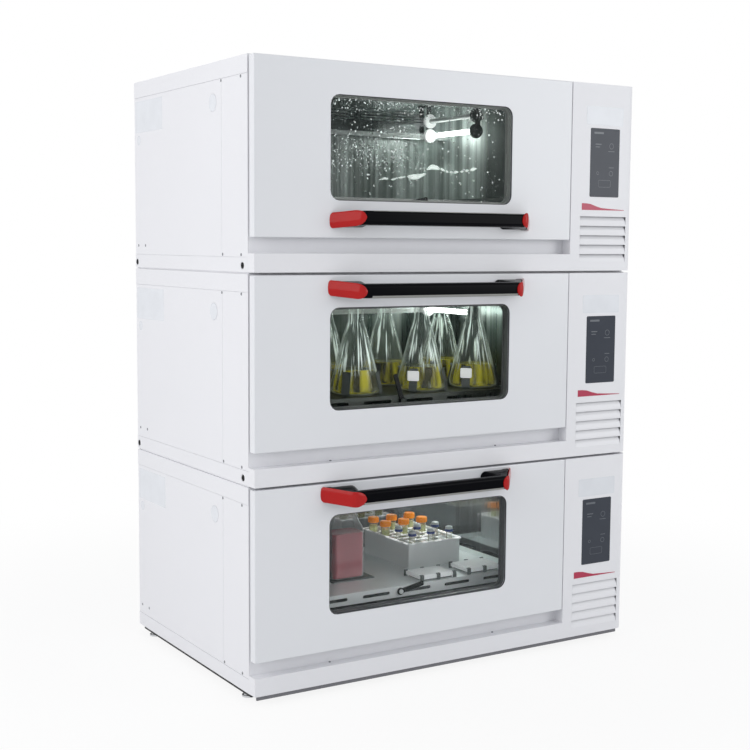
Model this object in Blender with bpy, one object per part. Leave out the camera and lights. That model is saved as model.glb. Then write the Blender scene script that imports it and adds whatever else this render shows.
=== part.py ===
# Three-deck carbon dioxide shaking incubator.
# Metres. X runs from the left side to the right, Y from front to back, Z up.
# Each deck is modelled in its own frame: X 0 is its left side, Y 0 the front plate of its cabinet
# and Z 0 its underside.

import math

import bmesh
import bpy
from mathutils import Matrix, Vector

# Cabinet
DECK_NAMES = ("bottom", "middle", "top")
DECK_PITCH = 0.580
CABINET_WIDTH = 1.335
CABINET_DEPTH = 0.800
CABINET_WALL = 0.0035
PLINTH_HEIGHT = 0.004
PLINTH_INSET = 0.004
PLINTH_RING = 0.050
FIT = 0.0003
SIDE_COVER_LOW = 0.044
SIDE_COVER_HIGH = 0.531
SIDE_COVER_THICKNESS = 0.0015
SIDE_COVER_SEAM = 0.001
PORT_RADIUS = 0.024
PORT_BACK = 0.218
PORT_DROP = 0.061
SERVICE_MARGIN = 0.040
SERVICE_FRONT = 0.300
REAR_VENT_COUNT = 3
REAR_VENT_WIDTH = 0.240
REAR_VENT_HEIGHT = 0.010
REAR_VENT_PITCH = 0.024
REAR_VENT_RISE = 0.060
ROOF_PLUG_RADIUS = 0.010
ROOF_PLUG_HEIGHT = 0.0025
ROOF_PLUG_SIDE = 0.020
ROOF_PLUG_FRONT = 0.034
ROOF_PLUG_BACK = 0.030

# Front: sill, control column and door all end on one plane
FRONT_DEPTH = 0.038
FASCIA_SHEET = 0.002
COLUMN_WIDTH = 0.254
COLUMN_EDGE_RADIUS = 0.028
SILL_HEIGHT = 0.055
RECESS_HEIGHT = 0.043
DOOR_TOP_GAP = 0.003
DOOR_SIDE_GAP = 0.002
DOOR_SKIN = 0.002
DOOR_EDGE_RADIUS = 0.003
SEAL_SPACE = 0.008
SEAL_WIDTH = 0.009
WINDOW_WIDTH = 0.620
WINDOW_HEIGHT = 0.287
WINDOW_RADIUS = 0.028
WINDOW_RISE = 0.102
WINDOW_SHIFT = 0.003
GLASS_RECESS = 0.004
GLASS_DEPTH = 0.022
LOUVRE_COUNT = 5
LOUVRE_WIDTH = 0.187
LOUVRE_HEIGHT = 0.024
LOUVRE_PITCH = 0.029
LOUVRE_LEAN = 0.009
LOUVRE_RISE = 0.0315
LOUVRE_SIDE = 0.037
LOUVRE_END_GAP = 0.001
PANEL_WIDTH = 0.118
PANEL_HEIGHT = 0.210
PANEL_SIDE = 0.073
PANEL_RISE = 0.232
PANEL_PLATE = 0.003
PANEL_BOX_DEPTH = 0.024
PANEL_BOX_MARGIN = 0.008
PANEL_CORNER = 0.004

# Door hinges
HINGE_INSET = 0.011
HINGE_DEPTH = 0.014
HINGE_SIDE = 0.120
HINGE_BARREL_RADIUS = 0.0055
HINGE_HALF_WIDTH = 0.010
HINGE_PIN_RADIUS = 0.003
HINGE_PIN_LENGTH = 0.005
HINGE_CLEARANCE = 0.0015
PIN_CLEARANCE = 0.0003
HINGE_BLOCK_WALL = 0.004

# Door handles
HANDLE_REACH = 0.077
HANDLE_SPANS = {"bottom": 0.658, "middle": 0.676, "top": 0.686}
HANDLE_SLANT = 0.064
HANDLE_BAR_HEIGHT = 0.039
HANDLE_BAR_THICKNESS = 0.026
HANDLE_BEND = 0.022
HANDLE_EDGE = 0.009
HANDLE_SHIFTS = {"bottom": -0.004, "middle": 0.0265, "top": 0.036}
HANDLE_RISES = {"bottom": 0.441, "middle": 0.434, "top": 0.0565}
CAP_THICKNESS = 0.003
CAP_HEIGHT = 0.043
CAP_TIP = 0.008
CAP_CROWN = 0.0025

# Chamber
CHAMBER_LEFT = 0.060
CHAMBER_WIDTH = 0.965
CHAMBER_DEPTH = 0.590
CHAMBER_FLOOR = 0.135
CHAMBER_HEIGHT = 0.410
LINER_WALL = 0.002
LINER_FLANGE = 0.018
DUCT_DEPTH = 0.028
DUCT_HEIGHT = 0.095
DUCT_SHEET = 0.0015
DUCT_LEDGE_HEIGHT = 0.018
DUCT_LEDGE_DEPTH = 0.045
DUCT_SLOT_ROWS = 4
DUCT_SLOT_PITCH = 0.009
DUCT_SLOT_HEIGHT = 0.004
DUCT_SLOT_LENGTH = 0.240
DUCT_SLOT_COLUMNS = 3
DUCT_SLOT_GAP = 0.030
DUCT_SLOT_RISE = 0.038
FAN_RADIUS = 0.038
FAN_BLADES = 7
FAN_BLADE_DEPTH = 0.014
FAN_BLADE_THICKNESS = 0.0015
FAN_PLATE = 0.002
FAN_HUB_RADIUS = 0.012
FAN_SIDE = 0.240
FAN_SHAFT_RADIUS = 0.004
FAN_SHAFT_LENGTH = 0.020
FAN_BOSS_RADIUS = 0.014
LAMP_SIDE = 0.082
LAMP_FRONT = 0.260
LAMP_LENGTH = 0.283
LAMP_DROP = 0.053
LAMP_PITCH = 0.049
LAMP_TUBE_RADIUS = 0.008
LAMP_HOLDER_RADIUS = 0.0238
LAMP_HOLDER_LENGTH = 0.016
LAMP_BRACKET_WIDTH = 0.018
LAMP_BRACKET_THICKNESS = 0.006

# Drive and tray
ORBIT_RADIUS = 0.0125
MOTOR_RADIUS = 0.085
MOTOR_HEIGHT = 0.062
MOTOR_FLANGE_RADIUS = 0.105
MOTOR_FLANGE_HEIGHT = 0.008
MOTOR_FINS = 6
MOTOR_FIN_DEPTH = 0.010
MOTOR_FIN_THICKNESS = 0.005
BEARING_HOUSING_RADIUS = 0.034
SHAFT_RADIUS = 0.015
SHAFT_CLEARANCE = 0.0003
SHAFT_SEAT_RISE = 0.020
SHAFT_OPENING_RADIUS = 0.030
CRANK_DISC_RADIUS = 0.055
CRANK_DISC_RISE = 0.012
CRANK_DISC_THICKNESS = 0.010
CRANK_PIN_RADIUS = 0.011
CRANK_PIN_LENGTH = 0.030
COUNTERWEIGHT_RADIUS = 0.075
COUNTERWEIGHT_HEIGHT = 0.022
COUNTERWEIGHT_START = 0.024
TRAY_RISE = 0.215
TRAY_MARGIN_X = 0.040
TRAY_FRONT = 0.090
TRAY_BACK_MARGIN = 0.062
TRAY_SHEET = 0.003
TRAY_LIP = 0.034
TRAY_RIM = 0.016
TRAY_HUB_RADIUS = 0.026
TRAY_RIB_WIDTH = 0.030
TRAY_RIB_HEIGHT = 0.018
TRAY_RIB_SPREAD = 0.110
LIP_SLOT_COUNT = 6
LIP_SLOT_LENGTH = 0.096
LIP_SLOT_HEIGHT = 0.010
LIP_SLOT_DROP = 0.012
LEVER_SIDE = 0.010
LEVER_DROP = 0.016
LEVER_LENGTH = 0.084
LEVER_WIDTH = 0.014
LEVER_THICKNESS = 0.005
LEVER_HUB_RADIUS = 0.011
LEVER_PIN_RADIUS = 0.004
LEVER_PIN_HEAD_RADIUS = 0.007
LEVER_PIN_HEAD = 0.003
LEVER_ANGLES = {"bottom": 79.0, "middle": -18.0, "top": 79.0}

# Tube rack on the bottom tray
RACK_WIDTH = 0.196
RACK_DEPTH = 0.270
RACK_HEIGHT = 0.081
RACK_SHEET = 0.0015
RACK_RIM = 0.006
RACK_LEFT = 0.685
RACK_FRONT = 0.246

# Base frame and levelling feet
BASE_HEIGHT = 0.012
BASE_INSET = 0.012
BASE_RING = 0.046
FOOT_INSET_X = 0.030
FOOT_INSET_Y = 0.062
FOOT_RADIUS = 0.019
FOOT_PAD = 0.005
FOOT_HEIGHT = 0.013
FOOT_STEM_RADIUS = 0.006
FOOT_NUT_RADIUS = 0.0105
FOOT_NUT_HEIGHT = 0.004
FOOT_CLEARANCE = 0.0003

# Modelling tolerances
MERGE_DISTANCE = 0.000005
FLAT_ANGLE = 0.0005

# Places that follow from the sizes above
deck_top = DECK_PITCH - FIT
floor_top = PLINTH_HEIGHT + CABINET_WALL
column_left = CABINET_WIDTH - COLUMN_WIDTH
port_rise = SIDE_COVER_HIGH - PORT_DROP
door_width = column_left - DOOR_SIDE_GAP
door_bottom = SILL_HEIGHT + RECESS_HEIGHT
door_top = DECK_PITCH - DOOR_TOP_GAP
door_back = -SEAL_SPACE
window_left = door_width / 2 + WINDOW_SHIFT - WINDOW_WIDTH / 2
window_bottom = door_bottom + WINDOW_RISE
chamber_right = CHAMBER_LEFT + CHAMBER_WIDTH
chamber_top = CHAMBER_FLOOR + CHAMBER_HEIGHT
chamber_front = CABINET_WALL + FIT
hinge_y = door_back - HINGE_DEPTH
hinge_places = (HINGE_SIDE, door_width - HINGE_SIDE)
side_rebate = SIDE_COVER_THICKNESS + FIT
duct_floor = chamber_top - FIT - DUCT_HEIGHT
duct_front = CHAMBER_DEPTH - FIT - DUCT_DEPTH
fan_centre = Vector((CHAMBER_LEFT + FAN_SIDE, 0, (duct_floor + chamber_top) / 2))
tray_left = CHAMBER_LEFT + TRAY_MARGIN_X
tray_right = chamber_right - TRAY_MARGIN_X
tray_back = CHAMBER_DEPTH - TRAY_BACK_MARGIN
tray_underside = TRAY_RISE - TRAY_SHEET
drive_centre = Vector(((tray_left + tray_right) / 2, (TRAY_FRONT + tray_back) / 2, 0))
disc_low = CHAMBER_FLOOR + CRANK_DISC_RISE
disc_high = disc_low + CRANK_DISC_THICKNESS
pin_centre = drive_centre + Vector((ORBIT_RADIUS, 0, 0))
lever_pivot = Vector((drive_centre.x + LEVER_SIDE, TRAY_FRONT, TRAY_RISE - LEVER_DROP))
stack_drop = BASE_HEIGHT + FOOT_HEIGHT
stack_front = -FRONT_DEPTH - HANDLE_REACH - CAP_CROWN


def hinge_height(at_top):
    """Height of the door's hinge axis in the deck's frame."""
    return door_top - HINGE_INSET if at_top else door_bottom + HINGE_INSET


# Solids

def new_object(name, bm):
    mesh = bpy.data.meshes.new(name)
    bmesh.ops.recalc_face_normals(bm, faces=bm.faces)
    bm.to_mesh(mesh)
    bm.free()
    obj = bpy.data.objects.new(name, mesh)
    bpy.context.scene.collection.objects.link(obj)
    return obj


def box(low, high, name="block", edge=0.0, edge_steps=2, keep=None):
    """A block between two corners. Its edges are rounded by edge, or only those that keep accepts."""
    low = Vector(low)
    high = Vector(high)
    bm = bmesh.new()
    bmesh.ops.create_cube(bm, size=1.0)
    bmesh.ops.scale(bm, vec=high - low, verts=bm.verts)
    bmesh.ops.translate(bm, vec=(low + high) / 2, verts=bm.verts)
    if edge:
        edges = [e for e in bm.edges if keep is None or keep(e)]
        bmesh.ops.bevel(bm, geom=edges, offset=edge, segments=edge_steps, profile=0.5, affect="EDGES")
    return new_object(name, bm)


def cylinder(start, axis, radius, length, name="round", sides=24, end_radius=None):
    """A cylinder or cone from start along axis."""
    bm = bmesh.new()
    bmesh.ops.create_cone(
        bm,
        cap_ends=True,
        segments=sides,
        radius1=radius,
        radius2=radius if end_radius is None else end_radius,
        depth=length,
    )
    turn = Vector((0, 0, 1)).rotation_difference(Vector(axis)).to_matrix().to_4x4()
    place = Matrix.Translation(start) @ turn @ Matrix.Translation((0, 0, length / 2))
    bmesh.ops.transform(bm, matrix=place, verts=bm.verts)
    return new_object(name, bm)


def prism(outline, low, high, axis="Y", name="profile"):
    """Extrudes an outline along an axis: points (x, z) along Y, (y, z) along X, (x, y) along Z."""
    spread = {
        "X": lambda a, b, depth: (depth, a, b),
        "Y": lambda a, b, depth: (a, depth, b),
        "Z": lambda a, b, depth: (a, b, depth),
    }[axis]
    bm = bmesh.new()
    near = [bm.verts.new(spread(a, b, low)) for a, b in outline]
    far = [bm.verts.new(spread(a, b, high)) for a, b in outline]
    bm.faces.new(near)
    bm.faces.new(reversed(far))
    for i in range(len(outline)):
        j = (i + 1) % len(outline)
        bm.faces.new((near[i], far[i], far[j], near[j]))
    return new_object(name, bm)


def loft(rings, name):
    """Skins a row of closed rings of equal length and closes both ends."""
    bm = bmesh.new()
    rows = [[bm.verts.new(point) for point in ring] for ring in rings]
    count = len(rows[0])
    for row, following in zip(rows, rows[1:]):
        for i in range(count):
            j = (i + 1) % count
            bm.faces.new((row[i], row[j], following[j], following[i]))
    bm.faces.new(reversed(rows[0]))
    bm.faces.new(rows[-1])
    return new_object(name, bm)


def rounded_rectangle(left, bottom, right, top, radius, steps=5):
    """Points round a rectangle with round corners, anticlockwise."""
    corners = (
        (right - radius, top - radius, 0),
        (left + radius, top - radius, 90),
        (left + radius, bottom + radius, 180),
        (right - radius, bottom + radius, 270),
    )
    points = []
    for x, y, start in corners:
        for step in range(steps + 1):
            angle = math.radians(start + 90 * step / steps)
            points.append((x + radius * math.cos(angle), y + radius * math.sin(angle)))
    return points


def carve(body, add=(), cut=()):
    """Joins and cuts solids and keeps the result as the body's own mesh."""
    for operation, tools in (("UNION", add), ("DIFFERENCE", cut)):
        for tool in tools:
            modifier = body.modifiers.new(operation, "BOOLEAN")
            modifier.operation = operation
            modifier.object = tool
            modifier.solver = "EXACT"
    graph = bpy.context.evaluated_depsgraph_get()
    mesh = bpy.data.meshes.new_from_object(body.evaluated_get(graph))
    body.modifiers.clear()
    body.data = mesh
    for tool in (*add, *cut):
        bpy.data.objects.remove(tool)
    tidy(mesh)
    return body


def tidy(mesh):
    """Closes the hairline edges and dissolves the flat seams that joining and cutting leave."""
    bm = bmesh.new()
    bm.from_mesh(mesh)
    bmesh.ops.remove_doubles(bm, verts=bm.verts, dist=MERGE_DISTANCE)
    bmesh.ops.dissolve_limit(bm, angle_limit=FLAT_ANGLE, verts=bm.verts, edges=bm.edges)
    bm.to_mesh(mesh)
    bm.free()


# Finishes

def make_material(name, colour, roughness, metallic=0.0, alpha=1.0):
    material = bpy.data.materials.new(name)
    material.use_nodes = True
    shader = material.node_tree.nodes["Principled BSDF"]
    shader.inputs["Base Color"].default_value = (*colour, 1.0)
    shader.inputs["Roughness"].default_value = roughness
    shader.inputs["Metallic"].default_value = metallic
    shader.inputs["Alpha"].default_value = alpha
    material.diffuse_color = (*colour, alpha)
    return material


def make_materials():
    return {
        "white_paint": make_material("white_paint", (0.80, 0.81, 0.83), 0.35),
        "door_paint": make_material("door_paint", (0.76, 0.78, 0.80), 0.25),
        "stainless": make_material("stainless", (0.55, 0.57, 0.57), 0.18, 1.0),
        "glass": make_material("glass", (0.75, 0.82, 0.80), 0.05, 0.0, 0.35),
        "seal_rubber": make_material("seal_rubber", (0.08, 0.08, 0.09), 0.7),
        "handle_black": make_material("handle_black", (0.010, 0.011, 0.013), 0.3),
        "handle_red": make_material("handle_red", (0.45, 0.03, 0.03), 0.15),
        "panel_glass": make_material("panel_glass", (0.05, 0.055, 0.07), 0.1),
        "lamp_white": make_material("lamp_white", (0.85, 0.86, 0.86), 0.3),
        "black_steel": make_material("black_steel", (0.03, 0.03, 0.035), 0.45, 0.6),
        "cast_grey": make_material("cast_grey", (0.22, 0.23, 0.25), 0.5, 0.7),
        "foot_rubber": make_material("foot_rubber", (0.05, 0.05, 0.05), 0.8),
    }


# Cabinet pieces

def cabinet_shell(at_top):
    """Folded body with its front plate, stacking plinth, hinge arms and rear vents."""
    w = CABINET_WIDTH
    d = CABINET_DEPTH
    body = box((0, 0, PLINTH_HEIGHT), (w, d, deck_top))
    ring = box((PLINTH_INSET, PLINTH_INSET, 0), (w - PLINTH_INSET, d - PLINTH_INSET, floor_top))
    inset = PLINTH_INSET + PLINTH_RING
    under = box((inset, inset, -floor_top), (w - inset, d - inset, PLINTH_HEIGHT))
    inside = box(
        (CABINET_WALL, CABINET_WALL, floor_top),
        (w - CABINET_WALL, d - CABINET_WALL, deck_top - CABINET_WALL),
    )
    mouth = box(
        (CHAMBER_LEFT, -CABINET_WALL, CHAMBER_FLOOR),
        (chamber_right, 2 * CABINET_WALL, chamber_top),
    )
    border = COLUMN_EDGE_RADIUS
    column = box(
        (column_left + border, -CABINET_WALL, floor_top + border),
        (w - border, 2 * CABINET_WALL, door_top - border),
    )
    rebate = box(
        (-side_rebate, -side_rebate, SIDE_COVER_LOW),
        (side_rebate, d + side_rebate, SIDE_COVER_HIGH),
    )
    service = box(
        (-side_rebate, SERVICE_FRONT, SIDE_COVER_LOW + SERVICE_MARGIN),
        (2 * CABINET_WALL, d - SERVICE_MARGIN, SIDE_COVER_HIGH - SERVICE_MARGIN),
    )
    vents = []
    for side in (column_left / 4, 3 * column_left / 4):
        for row in range(REAR_VENT_COUNT):
            low = REAR_VENT_RISE + row * REAR_VENT_PITCH
            vents.append(
                box(
                    (side - REAR_VENT_WIDTH / 2, d - 2 * CABINET_WALL, low),
                    (side + REAR_VENT_WIDTH / 2, d + CABINET_WALL, low + REAR_VENT_HEIGHT),
                )
            )
    carve(body, add=[ring], cut=[under, inside, mouth, column, rebate, service, *vents])
    port = cylinder((FIT, PORT_BACK, port_rise), (1, 0, 0), PORT_RADIUS, CABINET_WALL - FIT)
    hinge_z = hinge_height(at_top)
    arms = [hinge_arm(x, hinge_z) for x in hinge_places]
    plugs = roof_plugs() if at_top else []
    return carve(body, add=[port, *arms, *plugs])


def roof_plugs():
    """Round plugs that close the stacking holes along the left edge of the uppermost roof."""
    root = deck_top - CABINET_WALL / 2
    return [
        cylinder(
            (ROOF_PLUG_SIDE, y, root),
            (0, 0, 1),
            ROOF_PLUG_RADIUS,
            deck_top + ROOF_PLUG_HEIGHT - root,
            sides=18,
        )
        for y in (ROOF_PLUG_FRONT, CABINET_DEPTH - ROOF_PLUG_BACK)
    ]


def hinge_arm(x, z):
    """Arm on the front plate with a barrel and a stub pin at each end of it."""
    half = HINGE_HALF_WIDTH
    thick = HINGE_BARREL_RADIUS * 0.7
    arm = box((x - half, hinge_y, z - thick), (x + half, CABINET_WALL / 2, z + thick))
    barrel = cylinder((x - half, hinge_y, z), (1, 0, 0), HINGE_BARREL_RADIUS, 2 * half, sides=12)
    reach = half + HINGE_PIN_LENGTH
    pin = cylinder((x - reach, hinge_y, z), (1, 0, 0), HINGE_PIN_RADIUS, 2 * reach, sides=10)
    return carve(arm, add=[barrel, pin])


def side_cover():
    """Screwed cover over the left side, with the round hole of the port."""
    cover = box(
        (0, FIT, SIDE_COVER_LOW + SIDE_COVER_SEAM),
        (SIDE_COVER_THICKNESS, CABINET_DEPTH - FIT, SIDE_COVER_HIGH - SIDE_COVER_SEAM),
    )
    hole = cylinder(
        (-SIDE_COVER_THICKNESS, PORT_BACK, port_rise),
        (1, 0, 0),
        PORT_RADIUS + SIDE_COVER_SEAM / 2,
        3 * SIDE_COVER_THICKNESS,
    )
    return carve(cover, cut=[hole])


def fascia_outline(inset):
    """The L of sill and column in (x, z), drawn inwards by the sheet."""
    low = PLINTH_HEIGHT + inset
    right = CABINET_WIDTH - inset
    return [
        (inset, low),
        (right, low),
        (right, door_top - inset),
        (column_left + inset, door_top - inset),
        (column_left + inset, SILL_HEIGHT - inset),
        (inset, SILL_HEIGHT - inset),
    ]


def fascia_body(inset, back):
    """The L as a solid whose outer column edge is round."""
    front = -FRONT_DEPTH + inset
    body = prism(fascia_outline(inset), front, back)
    bm = bmesh.new()
    bm.from_mesh(body.data)
    right = CABINET_WIDTH - inset
    tiny = 1e-5
    edges = [
        e
        for e in bm.edges
        if all(abs(v.co.x - right) < tiny and abs(v.co.y - front) < tiny for v in e.verts)
    ]
    bmesh.ops.bevel(
        bm, geom=edges, offset=COLUMN_EDGE_RADIUS - inset, segments=6, profile=0.5, affect="EDGES"
    )
    bm.to_mesh(body.data)
    bm.free()
    return body


def front_fascia():
    """Sill and control column folded from one sheet, with pressed louvres and the panel's opening."""
    body = fascia_body(0.0, -FIT)
    hollow = fascia_body(FASCIA_SHEET, CABINET_WALL)
    panel_left = column_left + PANEL_SIDE
    opening = prism(
        rounded_rectangle(
            panel_left - FIT,
            PANEL_RISE - FIT,
            panel_left + PANEL_WIDTH + FIT,
            PANEL_RISE + PANEL_HEIGHT + FIT,
            PANEL_CORNER + FIT,
        ),
        -FRONT_DEPTH - FASCIA_SHEET,
        -FRONT_DEPTH + 2 * FASCIA_SHEET,
    )
    left = column_left + LOUVRE_SIDE
    slots = []
    slats = []
    for row in range(LOUVRE_COUNT):
        low = LOUVRE_RISE + row * LOUVRE_PITCH
        slots.append(
            box(
                (left, -FRONT_DEPTH - FASCIA_SHEET, low),
                (left + LOUVRE_WIDTH, -FRONT_DEPTH + 2 * FASCIA_SHEET, low + LOUVRE_HEIGHT),
            )
        )
        slats.append(louvre_slat(left + LOUVRE_END_GAP, left + LOUVRE_WIDTH - LOUVRE_END_GAP, low))
    carve(body, cut=[hollow, opening, *slots])
    return carve(body, add=slats)


def louvre_slat(left, right, low):
    """A tongue that leans inwards from the lower edge of its slot."""
    front = -FRONT_DEPTH
    top = low + LOUVRE_HEIGHT
    bend = (low + top) / 2
    lean = LOUVRE_LEAN
    root = FASCIA_SHEET / 2
    profile = [
        (front + root / 4, low - root),
        (front + root / 4, low),
        (front + lean * 0.3, bend),
        (front + lean, top),
        (front + lean + FASCIA_SHEET / 2, top),
        (front + lean * 0.3 + FASCIA_SHEET, bend),
        (front + root, low),
        (front + root, low - root),
    ]
    return prism(profile, left, right, axis="X")


def touch_panel():
    """Glass front plate with the controller's box behind it."""
    left = column_left + PANEL_SIDE
    front = -FRONT_DEPTH - FIT
    plate = prism(
        rounded_rectangle(left, PANEL_RISE, left + PANEL_WIDTH, PANEL_RISE + PANEL_HEIGHT, PANEL_CORNER),
        front,
        front + PANEL_PLATE,
    )
    margin = PANEL_BOX_MARGIN
    case = box(
        (left + margin, front + PANEL_PLATE / 2, PANEL_RISE + margin),
        (left + PANEL_WIDTH - margin, front + PANEL_BOX_DEPTH, PANEL_RISE + PANEL_HEIGHT - margin),
    )
    return carve(plate, add=[case])


def door_panel(at_top):
    """Hollow sheet door with a window opening and a hinge pocket at each end of the hinged edge."""
    body = box((0, -FRONT_DEPTH, door_bottom), (door_width, door_back, door_top), edge=DOOR_EDGE_RADIUS)
    skin = DOOR_SKIN
    hollow = box(
        (skin, -FRONT_DEPTH + skin, door_bottom + skin),
        (door_width - skin, door_back - skin, door_top - skin),
    )
    frame = window_prism(skin, -2 * FRONT_DEPTH, 0)
    hinge_z = hinge_height(at_top)
    blocks = [hinge_block(x, hinge_z, at_top) for x in hinge_places]
    carve(hollow, cut=[frame, *blocks])
    opening = window_prism(0, -2 * FRONT_DEPTH, 0)
    pockets = [hinge_pocket(x, hinge_z, at_top) for x in hinge_places]
    return carve(body, cut=[hollow, opening, *pockets])


def window_prism(grow, low, high):
    """The window's outline, grown by a margin, as a solid through the door."""
    outline = rounded_rectangle(
        window_left - grow,
        window_bottom - grow,
        window_left + WINDOW_WIDTH + grow,
        window_bottom + WINDOW_HEIGHT + grow,
        WINDOW_RADIUS + grow,
        steps=4,
    )
    return prism(outline, low, high)


def pocket_corners(x, hinge_z, at_top, grow):
    """Corners of the room that the hinge arm needs in the door, grown by a wall."""
    half = HINGE_HALF_WIDTH + HINGE_CLEARANCE + grow
    reach = HINGE_BARREL_RADIUS + HINGE_CLEARANCE + grow
    past = FRONT_DEPTH
    front = hinge_y - reach
    if at_top:
        return (x - half, front, hinge_z - reach), (x + half, past, door_top + past)
    return (x - half, front, door_bottom - past), (x + half, past, hinge_z + reach)


def hinge_block(x, hinge_z, at_top):
    low, high = pocket_corners(x, hinge_z, at_top, HINGE_BLOCK_WALL)
    return box(low, high)


def hinge_pocket(x, hinge_z, at_top):
    """The pocket and the bores of the stub pins, which run on into the hollow door."""
    low, high = pocket_corners(x, hinge_z, at_top, 0)
    pocket = box(low, high)
    reach = HINGE_HALF_WIDTH + HINGE_CLEARANCE + 2 * HINGE_BLOCK_WALL
    bore = cylinder(
        (x - reach, hinge_y, hinge_z), (1, 0, 0), HINGE_PIN_RADIUS + PIN_CLEARANCE, 2 * reach, sides=10
    )
    return carve(pocket, add=[bore])


def door_window():
    """Sealed double glazing that fills the door's opening."""
    front = -FRONT_DEPTH + GLASS_RECESS
    return window_prism(-FIT, front, front + GLASS_DEPTH)


def door_seal():
    """Rubber frame between the door and the cabinet, round the chamber's mouth."""
    near = -SEAL_SPACE + FIT
    far = -FIT
    grow = SEAL_WIDTH
    outer = prism(
        rounded_rectangle(
            CHAMBER_LEFT - grow, CHAMBER_FLOOR - grow, chamber_right + grow, chamber_top + grow, grow, 3
        ),
        near,
        far,
    )
    inner = box((CHAMBER_LEFT, 2 * near, CHAMBER_FLOOR), (chamber_right, -2 * near, chamber_top))
    return carve(outer, cut=[inner])


# Handles

def handle_path(centre_x, span):
    """Stations along the handle's outer face, from left foot to right: point and offset."""
    face = -FRONT_DEPTH - FIT
    half = span / 2
    reach = HANDLE_REACH - FIT
    slope = math.atan2(reach, HANDLE_SLANT)
    foot = Vector((centre_x - half, face))
    corner = Vector((centre_x - half + HANDLE_SLANT, face - reach))
    along = (corner - foot).normalized()
    tangent = HANDLE_BEND * math.tan(slope / 2)
    turn_centre = corner + Vector((tangent, HANDLE_BEND))
    stations = [(foot, Vector((-1 / math.sin(slope), 0)))]
    steps = 4
    for step in range(steps + 1):
        angle = slope * (1 - step / steps)
        outward = Vector((-math.sin(angle), -math.cos(angle)))
        stations.append((turn_centre + HANDLE_BEND * outward, outward))
    mirrored = [
        (Vector((2 * centre_x - point.x, point.y)), Vector((-out.x, out.y)))
        for point, out in reversed(stations)
    ]
    return stations, mirrored, along


def handle_section(point, out, depth, thickness, half_height, z, edge, steps=2):
    """A round-edged section whose outer face lies depth inside the path."""
    outline = rounded_rectangle(depth, -half_height, depth + thickness, half_height, edge, steps)
    return [(point.x - out.x * a, point.y - out.y * a, z + b) for a, b in outline]


def handle_bar(centre_x, z, span):
    """Bar with a slanted leg at each end, swept along its path."""
    left, right, _ = handle_path(centre_x, span)
    rings = [
        handle_section(
            point, out, CAP_THICKNESS, HANDLE_BAR_THICKNESS, HANDLE_BAR_HEIGHT / 2, z, HANDLE_EDGE
        )
        for point, out in left + right
    ]
    return loft(rings, "bar")


def handle_cap(centre_x, z, span, mirrored):
    """Domed cap on the slanted leg, which ends in a round tip on the bar."""
    stations, _, along = handle_path(centre_x, span)
    foot, foot_out = stations[0]
    bend = stations[1:]
    slant_out = bend[0][1]
    straight = (bend[0][0] - foot).length
    points = []
    for share in (0.0, 0.08, 0.22, 0.6):
        out = foot_out.lerp(slant_out, min(1.0, share * 4)) if share else foot_out
        points.append((foot + along * straight * share, out))
    points += bend
    last, last_out = bend[-1]
    for share in (0.35, 0.7, 0.9, 1.0):
        points.append((last + Vector((CAP_TIP * share, 0)), last_out))
    lengths = [0.0]
    for (a, _), (b, _) in zip(points, points[1:]):
        lengths.append(lengths[-1] + (b - a).length)
    total = lengths[-1]
    tip = 2 * CAP_TIP
    start = CAP_TIP / 2
    rings = []
    for (point, out), length in zip(points, lengths):
        half = CAP_HEIGHT / 2
        if length > total - tip:
            share = (length - (total - tip)) / tip
            half *= max(0.12, math.sqrt(max(0.0, 1 - share * share)))
        elif length < start:
            half *= 0.86 + 0.14 * math.sqrt(1 - (1 - length / start) ** 2)
        rings.append(cap_section(point, out, half, z))
    cap = loft(rings, "cap")
    if mirrored:
        flip = Matrix.Translation((centre_x, 0, 0)) @ Matrix.Scale(-1, 4, (1, 0, 0))
        cap.data.transform(flip @ Matrix.Translation((-centre_x, 0, 0)))
        cap.data.flip_normals()
    return cap


def cap_section(point, out, half, z):
    """A crowned strip: flat towards the bar and domed outwards."""
    inside = CAP_THICKNESS - FIT
    rise = [-1.0, -0.86, -0.4, 0.4, 0.86, 1.0]
    ring = []
    for share in rise:
        crown = CAP_CROWN * (1 - share * share)
        depth = -crown if abs(share) < 1 else inside * 0.45
        ring.append((point.x - out.x * depth, point.y - out.y * depth, z + half * share))
    ring.append((point.x - out.x * inside, point.y - out.y * inside, z + half))
    ring.append((point.x - out.x * inside, point.y - out.y * inside, z - half))
    return ring


# Chamber pieces

def chamber_liner():
    """Stainless tub, open at the front, with a flange behind the front plate and the fan's boss."""
    wall = LINER_WALL
    body = box(
        (CHAMBER_LEFT - wall, chamber_front, CHAMBER_FLOOR - wall),
        (chamber_right + wall, CHAMBER_DEPTH + wall, chamber_top + wall),
    )
    flange = box(
        (CHAMBER_LEFT - LINER_FLANGE, chamber_front, CHAMBER_FLOOR - LINER_FLANGE),
        (chamber_right + LINER_FLANGE, chamber_front + wall, chamber_top + LINER_FLANGE),
    )
    boss = cylinder(
        (fan_centre.x, CHAMBER_DEPTH + wall / 2, fan_centre.z),
        (0, 1, 0),
        FAN_BOSS_RADIUS,
        FAN_SHAFT_LENGTH,
        sides=16,
    )
    inside = box((CHAMBER_LEFT, -wall, CHAMBER_FLOOR), (chamber_right, CHAMBER_DEPTH, chamber_top))
    shaft_hole = cylinder(
        (drive_centre.x, drive_centre.y, CHAMBER_FLOOR - 3 * wall),
        (0, 0, 1),
        SHAFT_OPENING_RADIUS,
        6 * wall,
    )
    bore = cylinder(
        (fan_centre.x, CHAMBER_DEPTH - wall, fan_centre.z),
        (0, 1, 0),
        FAN_SHAFT_RADIUS + SHAFT_CLEARANCE,
        FAN_SHAFT_LENGTH,
        sides=14,
    )
    return carve(body, add=[flange, boss], cut=[inside, shaft_hole, bore])


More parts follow.
